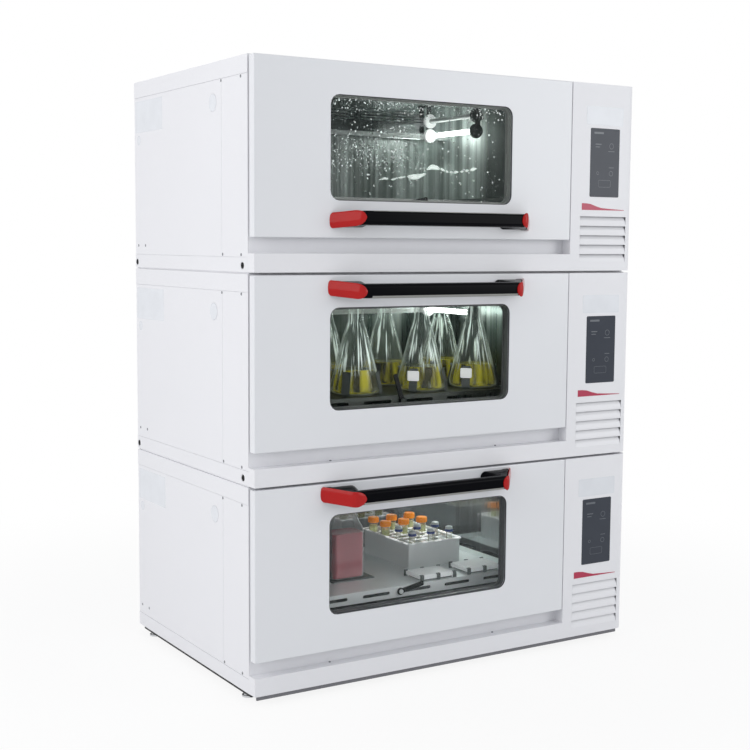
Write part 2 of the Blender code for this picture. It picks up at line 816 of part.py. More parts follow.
def air_duct():
    """Slotted duct cover along the top of the back wall, with a ledge under it."""
    left = CHAMBER_LEFT + FIT
    right = chamber_right - FIT
    back = CHAMBER_DEPTH - FIT
    top = chamber_top - FIT
    sheet = DUCT_SHEET
    body = box((left, duct_front, duct_floor), (right, back, top))
    ledge = box(
        (left, back - DUCT_LEDGE_DEPTH, duct_floor - DUCT_LEDGE_HEIGHT), (right, back, duct_floor + sheet)
    )
    hollow = box(
        (left + sheet, duct_front + sheet, duct_floor + sheet), (right - sheet, back + sheet, top - sheet)
    )
    slots = []
    step = DUCT_SLOT_LENGTH + DUCT_SLOT_GAP
    first = (left + right) / 2 - step * (DUCT_SLOT_COLUMNS - 1) / 2
    for column in range(DUCT_SLOT_COLUMNS):
        for row in range(DUCT_SLOT_ROWS):
            x = first + column * step
            z = duct_floor + DUCT_SLOT_RISE + row * DUCT_SLOT_PITCH
            slots.append(
                box(
                    (x - DUCT_SLOT_LENGTH / 2, duct_front - sheet, z),
                    (x + DUCT_SLOT_LENGTH / 2, duct_front + 2 * sheet, z + DUCT_SLOT_HEIGHT),
                )
            )
    return carve(body, add=[ledge], cut=[hollow, *slots])


def circulation_fan():
    """Radial impeller whose shaft turns in the liner's boss."""
    x = fan_centre.x
    z = fan_centre.z
    back = CHAMBER_DEPTH - 2 * FIT
    plate = cylinder((x, back - FAN_PLATE, z), (0, 1, 0), FAN_RADIUS, FAN_PLATE)
    hub = cylinder((x, back - FAN_BLADE_DEPTH, z), (0, 1, 0), FAN_HUB_RADIUS, FAN_BLADE_DEPTH, sides=16)
    shaft = cylinder(
        (x, back - FAN_PLATE, z), (0, 1, 0), FAN_SHAFT_RADIUS, FAN_SHAFT_LENGTH - LINER_WALL, sides=14
    )
    blades = []
    half = FAN_BLADE_THICKNESS / 2
    for number in range(FAN_BLADES):
        blade = box(
            (FAN_HUB_RADIUS * 0.7, back - FAN_BLADE_DEPTH, -half),
            (FAN_RADIUS * 0.98, back - FAN_PLATE / 2, half),
        )
        turn = Matrix.Rotation(2 * math.pi * number / FAN_BLADES, 4, "Y")
        blade.data.transform(Matrix.Translation((x, 0, z)) @ turn)
        blades.append(blade)
    return carve(plate, add=[hub, shaft, *blades])


def chamber_lamp():
    """Two tubes between round holders, hung from the chamber's ceiling by a strap at each end."""
    x = chamber_right - LAMP_SIDE
    far = LAMP_FRONT + LAMP_LENGTH
    heights = (chamber_top - LAMP_DROP, chamber_top - LAMP_DROP - LAMP_PITCH)
    solids = []
    half = LAMP_BRACKET_WIDTH / 2
    for y in (LAMP_FRONT, far - LAMP_BRACKET_THICKNESS):
        solids.append(
            box(
                (x - half, y, heights[1]), (x + half, y + LAMP_BRACKET_THICKNESS, chamber_top - FIT)
            )
        )
    for z in heights:
        for y in (LAMP_FRONT - FIT, far - LAMP_HOLDER_LENGTH + FIT):
            holder = cylinder((x, y, z), (0, 1, 0), LAMP_HOLDER_RADIUS, LAMP_HOLDER_LENGTH, sides=14)
            solids.append(holder)
        solids.append(
            cylinder(
                (x, LAMP_FRONT + LAMP_HOLDER_LENGTH / 2, z),
                (0, 1, 0),
                LAMP_TUBE_RADIUS,
                LAMP_LENGTH - LAMP_HOLDER_LENGTH,
                sides=8,
            )
        )
    return carve(solids[0], add=solids[1:])


# Drive and tray

def drive_motor():
    """Flanged direct drive with cooling fins and the shaft's bearing housing."""
    x, y, _ = drive_centre
    base = floor_top + FIT
    flange = cylinder((x, y, base), (0, 0, 1), MOTOR_FLANGE_RADIUS, MOTOR_FLANGE_HEIGHT)
    motor = cylinder((x, y, base), (0, 0, 1), MOTOR_RADIUS, MOTOR_HEIGHT)
    housing_top = CHAMBER_FLOOR - LINER_WALL - FIT
    housing = cylinder(
        (x, y, base + MOTOR_HEIGHT / 2),
        (0, 0, 1),
        BEARING_HOUSING_RADIUS,
        housing_top - base - MOTOR_HEIGHT / 2,
    )
    fins = []
    for number in range(MOTOR_FINS):
        half = MOTOR_FIN_THICKNESS / 2
        fin = box(
            (MOTOR_RADIUS * 0.9, -half, base + MOTOR_FLANGE_HEIGHT / 2),
            (MOTOR_RADIUS + MOTOR_FIN_DEPTH, half, base + MOTOR_HEIGHT * 0.9),
        )
        turn = Matrix.Rotation(2 * math.pi * number / MOTOR_FINS, 4, "Z")
        fin.data.transform(Matrix.Translation((x, y, 0)) @ turn)
        fins.append(fin)
    bore = cylinder(
        (x, y, SHAFT_SEAT_RISE), (0, 0, 1), SHAFT_RADIUS + SHAFT_CLEARANCE, CHAMBER_FLOOR
    )
    return carve(flange, add=[motor, housing, *fins], cut=[bore])


def drive_crank():
    """Shaft, disc, crank pin and counterweight in one piece."""
    x, y, _ = drive_centre
    seat = SHAFT_SEAT_RISE + FIT
    shaft = cylinder((x, y, seat), (0, 0, 1), SHAFT_RADIUS, disc_high - seat)
    disc = cylinder((x, y, disc_low), (0, 0, 1), CRANK_DISC_RADIUS, CRANK_DISC_THICKNESS, sides=28)
    pin = cylinder(
        (pin_centre.x, pin_centre.y, disc_low),
        (0, 0, 1),
        CRANK_PIN_RADIUS,
        CRANK_DISC_THICKNESS + CRANK_PIN_LENGTH,
    )
    start = math.acos(COUNTERWEIGHT_START / COUNTERWEIGHT_RADIUS)
    steps = 10
    arc = [-start + 2 * start * step / steps for step in range(steps + 1)]
    far = COUNTERWEIGHT_RADIUS
    outline = [(x - far * math.cos(angle), y - far * math.sin(angle)) for angle in arc]
    weight = prism(outline, disc_low, disc_low + COUNTERWEIGHT_HEIGHT, axis="Z")
    return carve(disc, add=[shaft, pin, weight])


def shaker_tray():
    """Platform with a slotted lip, rims, ribs, the hub on the crank pin and the lever's pin."""
    deck = box((tray_left, TRAY_FRONT, tray_underside), (tray_right, tray_back, TRAY_RISE))
    lip = box(
        (tray_left, TRAY_FRONT, TRAY_RISE - TRAY_LIP), (tray_right, TRAY_FRONT + TRAY_SHEET, TRAY_RISE)
    )
    rim_top = TRAY_RISE + TRAY_RIM
    rims = [
        box((tray_left, TRAY_FRONT, tray_underside), (tray_left + TRAY_SHEET, tray_back, rim_top)),
        box((tray_right - TRAY_SHEET, TRAY_FRONT, tray_underside), (tray_right, tray_back, rim_top)),
        box((tray_left, tray_back - TRAY_SHEET, tray_underside), (tray_right, tray_back, rim_top)),
    ]
    ribs = []
    for side in (-1, 1):
        y = drive_centre.y + side * TRAY_RIB_SPREAD
        ribs.append(
            box(
                (tray_left + TRAY_RIM, y - TRAY_RIB_WIDTH / 2, tray_underside - TRAY_RIB_HEIGHT),
                (tray_right - TRAY_RIM, y + TRAY_RIB_WIDTH / 2, tray_underside + TRAY_SHEET / 2),
            )
        )
    hub_low = disc_high + FIT
    hub = cylinder(
        (pin_centre.x, pin_centre.y, hub_low),
        (0, 0, 1),
        TRAY_HUB_RADIUS,
        tray_underside - hub_low + TRAY_SHEET / 2,
    )
    stem = cylinder(
        (lever_pivot.x, TRAY_FRONT - LEVER_THICKNESS - 2 * FIT - LEVER_PIN_HEAD, lever_pivot.z),
        (0, 1, 0),
        LEVER_PIN_RADIUS,
        LEVER_THICKNESS + 2 * FIT + LEVER_PIN_HEAD + TRAY_SHEET / 2,
        sides=12,
    )
    head = cylinder(
        (lever_pivot.x, TRAY_FRONT - LEVER_THICKNESS - 2 * FIT - LEVER_PIN_HEAD, lever_pivot.z),
        (0, 1, 0),
        LEVER_PIN_HEAD_RADIUS,
        LEVER_PIN_HEAD,
        sides=16,
    )
    bore = cylinder(
        (pin_centre.x, pin_centre.y, hub_low - FIT),
        (0, 0, 1),
        CRANK_PIN_RADIUS + SHAFT_CLEARANCE,
        CRANK_PIN_LENGTH + FIT,
    )
    slots = []
    pitch = (tray_right - tray_left) / LIP_SLOT_COUNT
    for number in range(LIP_SLOT_COUNT):
        middle = tray_left + pitch * (number + 0.5)
        outline = rounded_rectangle(
            middle - LIP_SLOT_LENGTH / 2,
            TRAY_RISE - LIP_SLOT_DROP - LIP_SLOT_HEIGHT,
            middle + LIP_SLOT_LENGTH / 2,
            TRAY_RISE - LIP_SLOT_DROP,
            LIP_SLOT_HEIGHT * 0.49,
            steps=2,
        )
        slots.append(prism(outline, TRAY_FRONT - TRAY_SHEET, TRAY_FRONT + 2 * TRAY_SHEET))
    return carve(deck, add=[lip, *rims, *ribs, hub, stem, head], cut=[bore, *slots])


def tray_lever(angle):
    """Lock lever on the tray's lip. At angle 0 it stands up, and it turns towards the right."""
    y = TRAY_FRONT - FIT - LEVER_THICKNESS
    hub = cylinder((0, y, 0), (0, 1, 0), LEVER_HUB_RADIUS, LEVER_THICKNESS, sides=20)
    half = LEVER_WIDTH / 2
    arm = box(
        (-half, y, 0),
        (half, y + LEVER_THICKNESS, LEVER_LENGTH),
        edge=half * 0.6,
        edge_steps=3,
        keep=along_y,
    )
    bore = cylinder(
        (0, y - LEVER_THICKNESS, 0),
        (0, 1, 0),
        LEVER_PIN_RADIUS + PIN_CLEARANCE,
        3 * LEVER_THICKNESS,
        sides=12,
    )
    lever = carve(hub, add=[arm], cut=[bore])
    turn = Matrix.Rotation(math.radians(angle), 4, "Y")
    lever.data.transform(Matrix.Translation((lever_pivot.x, 0, lever_pivot.z)) @ turn)
    return lever


def along_y(edge):
    direction = edge.verts[0].co - edge.verts[1].co
    return abs(direction.y) > abs(direction.x) + abs(direction.z)


def tube_rack():
    """Open sheet rack with a turned-out rim."""
    base = TRAY_RISE + FIT
    right = RACK_LEFT + RACK_WIDTH
    back = RACK_FRONT + RACK_DEPTH
    top = base + RACK_HEIGHT
    body = box((RACK_LEFT, RACK_FRONT, base), (right, back, top))
    rim = box(
        (RACK_LEFT - RACK_RIM, RACK_FRONT - RACK_RIM, top - RACK_SHEET),
        (right + RACK_RIM, back + RACK_RIM, top),
    )
    inside = box(
        (RACK_LEFT + RACK_SHEET, RACK_FRONT + RACK_SHEET, base + RACK_SHEET),
        (right - RACK_SHEET, back - RACK_SHEET, top + RACK_SHEET),
    )
    return carve(body, add=[rim], cut=[inside])


# Base

def foot_places():
    """Axes of the levelling feet, with the name of each corner."""
    right = CABINET_WIDTH - FOOT_INSET_X
    back = CABINET_DEPTH - FOOT_INSET_Y
    return {
        "front_left": (FOOT_INSET_X, FOOT_INSET_Y),
        "front_right": (right, FOOT_INSET_Y),
        "rear_left": (FOOT_INSET_X, back),
        "rear_right": (right, back),
    }


def base_frame():
    """Recessed ring under the lowest deck, bored for the feet."""
    low = -BASE_HEIGHT
    inset = BASE_INSET
    body = box((inset, inset, low), (CABINET_WIDTH - inset, CABINET_DEPTH - inset, -FIT))
    inner = inset + BASE_RING
    hollow = box((inner, inner, 2 * low), (CABINET_WIDTH - inner, CABINET_DEPTH - inner, BASE_HEIGHT))
    bores = [
        cylinder((x, y, 2 * low), (0, 0, 1), FOOT_STEM_RADIUS + FOOT_CLEARANCE, 3 * BASE_HEIGHT, sides=12)
        for x, y in foot_places().values()
    ]
    return carve(body, cut=[hollow, *bores])


def levelling_foot(x, y):
    """Pad, cone, nut and threaded stem, turned about the foot's axis."""
    floor = -stack_drop
    nut_top = -BASE_HEIGHT - FIT
    cone_top = nut_top - FOOT_NUT_HEIGHT
    pad = cylinder((x, y, floor), (0, 0, 1), FOOT_RADIUS, FOOT_PAD, sides=18)
    cone = cylinder(
        (x, y, floor + FOOT_PAD / 2),
        (0, 0, 1),
        FOOT_RADIUS * 0.85,
        cone_top - floor - FOOT_PAD / 2 + FIT,
        sides=18,
        end_radius=FOOT_NUT_RADIUS,
    )
    nut = cylinder((x, y, cone_top), (0, 0, 1), FOOT_NUT_RADIUS, FOOT_NUT_HEIGHT, sides=6)
    stem = cylinder((x, y, cone_top), (0, 0, 1), FOOT_STEM_RADIUS, -2 * FIT - cone_top, sides=12)
    return carve(pad, add=[cone, nut, stem])


# Assembly

def new_empty(name, place, parent=None):
    empty = bpy.data.objects.new(name, None)
    empty.empty_display_size = 0.05
    bpy.context.scene.collection.objects.link(empty)
    empty.parent = parent
    empty.location = place
    return empty


def settle(obj, name, material, parent, pivot=(0, 0, 0)):
    """Names a piece, moves its origin to its parent's place in the deck, the pivot, and hangs it there."""
    obj.name = name
    obj.data.name = name
    obj.data.transform(Matrix.Translation(-Vector(pivot)))
    obj.data.materials.clear()
    obj.data.materials.append(material)
    obj.data.shade_smooth()
    obj.data.set_sharp_from_angle(angle=math.radians(35))
    obj.parent = parent
    return obj


def build_deck(name, stack, level, finishes):
    at_top = name == DECK_NAMES[-1]
    deck = new_empty(f"{name}_deck", (0, 0, level * DECK_PITCH), stack)
    fixed = {
        "cabinet_shell": (cabinet_shell(at_top), "white_paint"),
        "side_cover": (side_cover(), "white_paint"),
        "front_fascia": (front_fascia(), "white_paint"),
        "touch_panel": (touch_panel(), "panel_glass"),
        "chamber_liner": (chamber_liner(), "stainless"),
        "door_seal": (door_seal(), "seal_rubber"),
        "air_duct": (air_duct(), "stainless"),
        "chamber_lamp": (chamber_lamp(), "lamp_white"),
        "drive_motor": (drive_motor(), "cast_grey"),
    }
    for piece, (obj, finish) in fixed.items():
        settle(obj, f"{name}_{piece}", finishes[finish], deck)

    hinge = Vector((door_width / 2, hinge_y, hinge_height(at_top)))
    door_axis = new_empty(f"{name}_door_axis", hinge, deck)
    handle_x = door_width / 2 + HANDLE_SHIFTS[name]
    handle_z = door_bottom + HANDLE_RISES[name]
    span = HANDLE_SPANS[name]
    bar = handle_bar(handle_x, handle_z, span)
    caps = [handle_cap(handle_x, handle_z, span, mirrored) for mirrored in (False, True)]
    door_pieces = {
        "door_panel": (door_panel(at_top), "door_paint"),
        "door_window": (door_window(), "glass"),
        "handle_bar": (bar, "handle_black"),
        "handle_cap_left": (caps[0], "handle_red"),
        "handle_cap_right": (caps[1], "handle_red"),
    }
    for piece, (obj, finish) in door_pieces.items():
        settle(obj, f"{name}_{piece}", finishes[finish], door_axis, hinge)

    fan_axis = new_empty(f"{name}_fan_axis", fan_centre, deck)
    settle(circulation_fan(), f"{name}_circulation_fan", finishes["cast_grey"], fan_axis, fan_centre)
    crank_axis = new_empty(f"{name}_crank_axis", drive_centre, deck)
    settle(drive_crank(), f"{name}_drive_crank", finishes["cast_grey"], crank_axis, drive_centre)
    pin_axis = new_empty(f"{name}_pin_axis", pin_centre - drive_centre, crank_axis)
    settle(shaker_tray(), f"{name}_shaker_tray", finishes["stainless"], pin_axis, pin_centre)
    lever_axis = new_empty(f"{name}_lever_axis", lever_pivot - pin_centre, pin_axis)
    lever = tray_lever(LEVER_ANGLES[name])
    settle(lever, f"{name}_tray_lever", finishes["black_steel"], lever_axis, lever_pivot)
    if level == 0:
        settle(tube_rack(), f"{name}_tube_rack", finishes["stainless"], pin_axis, pin_centre)


def build():
    for obj in list(bpy.data.objects):
        bpy.data.objects.remove(obj)
    finishes = make_materials()
    centre_y = (stack_front + CABINET_DEPTH) / 2
    stack = new_empty("stack", (-CABINET_WIDTH / 2, -centre_y, stack_drop))
    for level, name in enumerate(DECK_NAMES):
        build_deck(name, stack, level, finishes)
    settle(base_frame(), "base_frame", finishes["black_steel"], stack)
    for corner, (x, y) in foot_places().items():
        foot_axis = new_empty(f"foot_axis_{corner}", (x, y, 0), stack)
        foot = levelling_foot(x, y)
        settle(foot, f"levelling_foot_{corner}", finishes["foot_rubber"], foot_axis, (x, y, 0))


build()
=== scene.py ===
import math
import random

import bmesh
import bpy
from mathutils import Matrix, Vector


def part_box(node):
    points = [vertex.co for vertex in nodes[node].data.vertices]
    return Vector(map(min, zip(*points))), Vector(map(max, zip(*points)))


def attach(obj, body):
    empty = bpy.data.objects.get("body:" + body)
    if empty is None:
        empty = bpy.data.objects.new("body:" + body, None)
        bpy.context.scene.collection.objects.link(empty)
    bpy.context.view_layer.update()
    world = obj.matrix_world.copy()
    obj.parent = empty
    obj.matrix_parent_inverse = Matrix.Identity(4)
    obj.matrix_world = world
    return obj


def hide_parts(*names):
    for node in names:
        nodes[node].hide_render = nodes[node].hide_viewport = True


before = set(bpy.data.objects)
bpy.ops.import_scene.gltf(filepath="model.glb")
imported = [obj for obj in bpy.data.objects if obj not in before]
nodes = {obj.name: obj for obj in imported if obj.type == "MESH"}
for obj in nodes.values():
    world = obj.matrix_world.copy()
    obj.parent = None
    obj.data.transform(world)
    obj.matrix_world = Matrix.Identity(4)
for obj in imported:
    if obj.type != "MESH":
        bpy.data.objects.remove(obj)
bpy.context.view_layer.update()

# Three stacked shaking incubators. Pieces are drawn in millimetres in the deck's own frame:
# X from the left side, Y from the cabinet's front plate, Z from the deck's underside.
scene = bpy.context.scene
decks = ("bottom", "middle", "top")
sideCoverGap = 0.0003
weldDistance = 0.002  # millimetres
flatAngle = 0.008  # radians
up = Vector((0, 0, 1))
back = Vector((0, 1, 0))
right = Vector((1, 0, 0))


def deckPlace(deck):
    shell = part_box(f"{deck}_cabinet_shell")[0]
    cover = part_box(f"{deck}_side_cover")[0]
    return Matrix.Translation((shell.x, cover.y - sideCoverGap, shell.z)) @ Matrix.Scale(0.001, 4)


deckMatrix = {deck: deckPlace(deck) for deck in decks}


def deckBox(deck, piece):
    # Corners of a CAD node in the deck's millimetres
    toDeck = deckMatrix[deck].inverted()
    low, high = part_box(f"{deck}_{piece}")
    return toDeck @ low, toDeck @ high


def placed(name, data):
    obj = bpy.data.objects.new(name, data)
    scene.collection.objects.link(obj)
    return obj


def meshOf(name, bm):
    mesh = bpy.data.meshes.new(name)
    bm.to_mesh(mesh)
    bm.free()
    return mesh


# Camera, where the photograph was taken from
camera = {
    "place": Vector((-2.2522, -3.54875, 1.2663)),
    "right": Vector((0.85039518, -0.5261032, 0.00659296)),
    "forward": Vector((0.52413292, 0.84598269, -0.09796929)),
    "lens": 63.74,
}


def makeCamera():
    data = bpy.data.cameras.new("camera")
    data.lens = camera["lens"]
    data.sensor_width = 36
    data.clip_end = 60
    upward = camera["right"].cross(camera["forward"])
    turn = Matrix((camera["right"], upward, -camera["forward"])).transposed()
    scene.camera = placed("camera", data)
    scene.camera.matrix_world = Matrix.Translation(camera["place"]) @ turn.to_4x4()


makeCamera()
print("camera placed")


# Finishes

class Value:
    # A socket that takes part in sums
    def __init__(self, finish, socket):
        self.finish = finish
        self.socket = socket

    def __add__(self, other):
        return self.finish.maths("ADD", self, other)

    def __sub__(self, other):
        return self.finish.maths("SUBTRACT", self, other)

    def __rsub__(self, other):
        return self.finish.maths("SUBTRACT", other, self)

    def __mul__(self, other):
        return self.finish.maths("MULTIPLY", self, other)

    def __pow__(self, other):
        return self.finish.maths("POWER", self, other)

    __radd__ = __add__
    __rmul__ = __mul__


class Tree:
    # A node tree with its output
    def __init__(self, tree, output):
        self.tree = tree
        tree.nodes.clear()
        self.output = tree.nodes.new(output)

    def join(self, socket, value):
        if isinstance(value, Value):
            self.tree.links.new(value.socket, socket)
        else:
            socket.default_value = value

    def node(self, kind, settings=None, sockets=None, output=0):
        made = self.tree.nodes.new("ShaderNode" + kind)
        for name, value in (settings or {}).items():
            if name == "stops":
                ramp = made.color_ramp.elements
                while len(ramp) < len(value):
                    ramp.new(0.5)
                for stop, (place, colour) in zip(ramp, value):
                    stop.position = place
                    stop.color = colour
            else:
                setattr(made, name, value)
        for name, value in (sockets or {}).items():
            self.join(made.inputs[name], value)
        return Value(self, made.outputs[output])

    def maths(self, operation, first, second):
        return self.node("Math", {"operation": operation}, {0: first, 1: second})

    def seen(self):
        # 1 where the camera looks, straight, by a mirror or through glass
        kinds = ("Camera", "Glossy", "Transmission")
        camera, glossy, through = (self.node("LightPath", output=f"Is {kind} Ray") for kind in kinds)
        return camera + glossy + through

    def mixInto(self, share, first, second):
        mixed = self.node("MixShader", None, {0: share, 1: first, 2: second})
        self.join(self.output.inputs["Surface"], mixed)


class Finish(Tree):
    def __init__(self, name, colour, **sockets):
        self.material = bpy.data.materials.new(name)
        self.material.use_nodes = True
        super().__init__(self.material.node_tree, "ShaderNodeOutputMaterial")
        self.surface = self.tree.nodes.new("ShaderNodeBsdfPrincipled")
        self.tree.links.new(self.surface.outputs[0], self.output.inputs["Surface"])
        self.put("Base Color", (*colour, 1))
        for name, value in sockets.items():
            self.put(name.replace("_", " "), value)

    def put(self, name, value):
        self.join(self.surface.inputs[name], value)
        return self

    def vector(self, operation, first, second):
        return self.node("VectorMath", {"operation": operation}, {0: first, 1: second})

    def noise(self, scale, detail=2, stretch=(1, 1, 1)):
        place = self.node("TexCoord", output="Object")
        if stretch != (1, 1, 1):
            place = self.vector("MULTIPLY", place, stretch)
        return self.node("TexNoise", None, {"Vector": place, "Scale": scale, "Detail": detail})

    def ramp(self, value, *stops):
        grey = [(place, (level, level, level, 1)) for place, level in stops]
        return self.node("ValToRGB", {"stops": grey}, {"Fac": value})

    def blend(self, factor, *ends):
        first, second = (end if isinstance(end, Value) else (*end, 1) for end in ends)
        return self.node("Mix", {"data_type": "RGBA"}, {0: factor, 6: first, 7: second}, 2)

    def bump(self, height, strength, distance):
        return self.put("Normal", self.node(
            "Bump", None, {"Height": height, "Strength": strength, "Distance": distance}
        ))

    def between(self, axis, start, end):
        # 0 to 1 from one depth or height in the room to another
        place = self.node("NewGeometry", output="Position")
        level = self.node("SeparateXYZ", None, {0: place}, axis)
        return self.node("MapRange", None, {"Value": level, "From Min": start, "From Max": end})

    def upright(self, scale):
        # Uneven lines that run up a round piece, different on each piece
        around = self.vector("MULTIPLY", self.node("NewGeometry", output="Normal"), (1, 1, 0.12))
        place = self.vector("MULTIPLY", self.node("NewGeometry", output="Position"), (4, 4, 0.8))
        return self.node(
            "TexNoise", None, {"Vector": self.vector("ADD", around, place), "Scale": scale, "Detail": 3.0}
        )

    def glow(self, share, dark, bright, strength=1.0):
        self.put("Emission Color", self.blend(share, dark, bright))
        return self.put("Emission Strength", strength)

    def glimmer(self, dark, bright, scale=9, detail=2, strength=1.0):
        return self.glow(self.noise(scale, detail), dark, bright, strength)

    def facing(self):
        return self.node("LayerWeight", None, {"Blend": 0.5}, "Facing")


def shade(colour, factor):
    return tuple(channel * factor for channel in colour)


def paintFinish(name, colour, gloss):
    # Powder coat: fine orange peel, with very faint cloudy changes of tone and gloss
    finish = Finish(name, colour, Roughness=gloss)
    cloud = finish.noise(3.2, 3)
    finish.put("Base Color", finish.blend(cloud, shade(colour, 0.985), shade(colour, 1.012)))
    finish.put("Roughness", gloss - 0.03 + cloud * 0.06)
    peel = finish.noise(520) + finish.noise(1900, 1) * 0.4
    return finish.bump(peel, 0.10, 0.0003)


def steelFinish(name, colour, gloss, grain=300, depth=0.12, stretch=(0.05, 1, 1), metal=1.0):
    # Rolled steel: grain drawn out one way, and large soft smears
    finish = Finish(name, colour, Metallic=metal)
    lines = finish.noise(grain, 3, stretch)
    smear = finish.noise(5)
    finish.put("Base Color", finish.blend(smear, shade(colour, 0.93), shade(colour, 1.04)))
    finish.put("Roughness", gloss + lines * gloss * 0.5 + smear * gloss * 0.5)
    return finish.bump(lines, depth, 0.001)


def streakFinish(name, wet, dry, smooth, rough, metal=1.0, shadedFront=False):
    # Polished liner steel with upright streaks, some wet and dark, some dry and dull
    finish = Finish(name, dry, Metallic=metal)
    streaks = finish.ramp(finish.noise(46, 4, (1, 1, 0.03)), (0.36, 0), (0.66, 1))
    dryness = streaks if shadedFront else streaks * finish.ramp(finish.noise(7), (0.35, 0.2), (0.65, 1))
    colour = finish.blend(dryness, wet, dry)
    gloss = smooth + dryness * (rough - smooth)
    if shadedFront:
        # Painted shade: the front of the chamber is darkened, and made too dull to mirror the lamp
        front = finish.between("Y", 0.04, -0.03)
        colour = finish.blend(front, colour, shade(wet, 0.42))
        gloss = gloss + front * 0.34
    finish.put("Base Color", colour)
    finish.put("Roughness", gloss)
    return finish.bump(streaks, 0.25, 0.001)


def glassFinish(name, colour, clear, rim, power, gloss=0.03, glintStreaks=0.0):
    # Clear where it is looked through, and bright towards its rims; its streaks are painted highlights,
    # glowing lines that run up the glass and grow stronger towards the top
    finish = Finish(name, colour, Roughness=gloss)
    cover = clear + finish.facing() ** power * (rim - clear)
    if glintStreaks:
        above = finish.between("Z", 0.86, 0.93)
        lines = finish.ramp(finish.upright(5.5), (0.57, 0), (0.65, 1)) * (above * 0.85 + 0.15)
        cover = finish.maths("MAXIMUM", cover, lines * glintStreaks)
        finish.glow(lines, shade(colour, 0.04), shade(colour, 0.80), 0.62)
    finish.put("Alpha", cover)
    return finish.put("Roughness", gloss + finish.noise(30) * 0.03)


def fluidFinish(name, shadedTone, litTone, solid, glow=0.0):
    # Painted light: bands that run up the liquid, bright where light shines through it and dark between, with
    # a painted glow in the bright bands; dense towards its rims
    finish = Finish(name, shadedTone, Roughness=0.06)
    share = finish.ramp(finish.upright(3.1), (0.40, 0), (0.66, 1))
    finish.put("Base Color", finish.blend(share, shadedTone, litTone))
    if glow:
        finish.glow(share, shade(shadedTone, 0.2), litTone, glow)
    return finish.put("Alpha", solid + finish.facing() ** 2 * (0.97 - solid))


def plasticFinish(name, colour, gloss, grain=260, depth=0.06):
    finish = Finish(name, colour, Roughness=gloss)
    mottle = finish.noise(18)
    finish.put("Base Color", finish.blend(mottle, shade(colour, 0.93), shade(colour, 1.07)))
    finish.put("Roughness", gloss * 0.9 + mottle * gloss * 0.2)
    return finish.bump(finish.noise(grain), depth, 0.0004)


def tubeFinish(deck, power):
    lit = (0.93, 1.0, 0.96)
    finish = Finish(f"{deck}_tube_lit", lit, Roughness=0.3)
    return finish.glimmer(shade(lit, 0.97), lit, 12, 1, power)


def dulled(finish, level):
    # Less mirror in a coat or a pane
    return finish.put("Specular IOR Level", level)


whitePaint = paintFinish("white_powder_coat", (0.80, 0.80, 0.83), 0.42)
doorPaint = paintFinish("door_powder_coat", (0.77, 0.78, 0.81), 0.30)
ductSteel = steelFinish("duct_steel", (0.55, 0.58, 0.58), 0.12, 200, 0.10)
ledgeSteel = steelFinish("ledge_steel", (0.90, 0.95, 0.93), 0.42, 200, 0.20, metal=0.3)
# The same tray steel in each deck, in lit and shaded copies: painted light on the bottom tray, painted shade
# on the middle and top trays
traySteel = {
    "bottom": steelFinish("bottom_tray_steel", (0.92, 0.97, 0.97), 0.30, metal=0.42),
    "middle": steelFinish("middle_tray_steel", (0.105, 0.118, 0.108), 0.30),
    "top": steelFinish("top_tray_steel", (0.30, 0.32, 0.31), 0.40),
}
rackSteel = steelFinish("rack_steel", (0.72, 0.75, 0.75), 0.36, metal=0.30)
# Painted light: a faint glow brightens the rack's shaded sides
rackSteel.glimmer((0.036, 0.039, 0.039), (0.062, 0.066, 0.066), 6)
# The same liner steel in each chamber, in lit and shaded copies; the middle chamber's dark copy is painted
# shade
streakedSteel = {
    "bottom": streakFinish("liner_steel", (0.36, 0.37, 0.38), (0.56, 0.57, 0.58), 0.05, 0.14, 0.88),
    "middle": streakFinish("damp_shaded_steel", (0.12, 0.15, 0.14), (0.40, 0.45, 0.42), 0.26, 0.46),
    "top": streakFinish("fogged_steel", (0.34, 0.39, 0.37), (0.92, 1.00, 0.97), 0.28, 0.52, 0.62, True),
}
# The same spacer in each door, in lit and shaded copies: painted shade on the bottom and middle doors, and a
# lighter copy on the top door where light falls on it
spacerMetal = {
    "bottom": plasticFinish("dark_spacer", (0.10, 0.105, 0.11), 0.35),
    "middle": plasticFinish("shaded_spacer", (0.12, 0.13, 0.125), 0.35),
    "top": plasticFinish("spacer_metal", (0.28, 0.30, 0.28), 0.35),
}
wireSteel = steelFinish("bright_wire", (0.95, 0.97, 0.97), 0.22, 200, 0.05, (1, 1, 1), 0.20)
# Painted highlights: bright dashes glow along the wires
wireHighlights = wireSteel.ramp(wireSteel.noise(38, 1), (0.46, 0), (0.56, 1))
wireSteel.glow(wireHighlights, (0.05, 0.05, 0.05), (0.90, 0.93, 0.93), 0.8)
gridSteel = steelFinish("grid_steel", (0.40, 0.42, 0.42), 0.30, 200, 0.05, (1, 1, 1), 0.4)
filmEdgeHighlight = plasticFinish("film_edge", (0.86, 0.96, 0.90), 0.15)
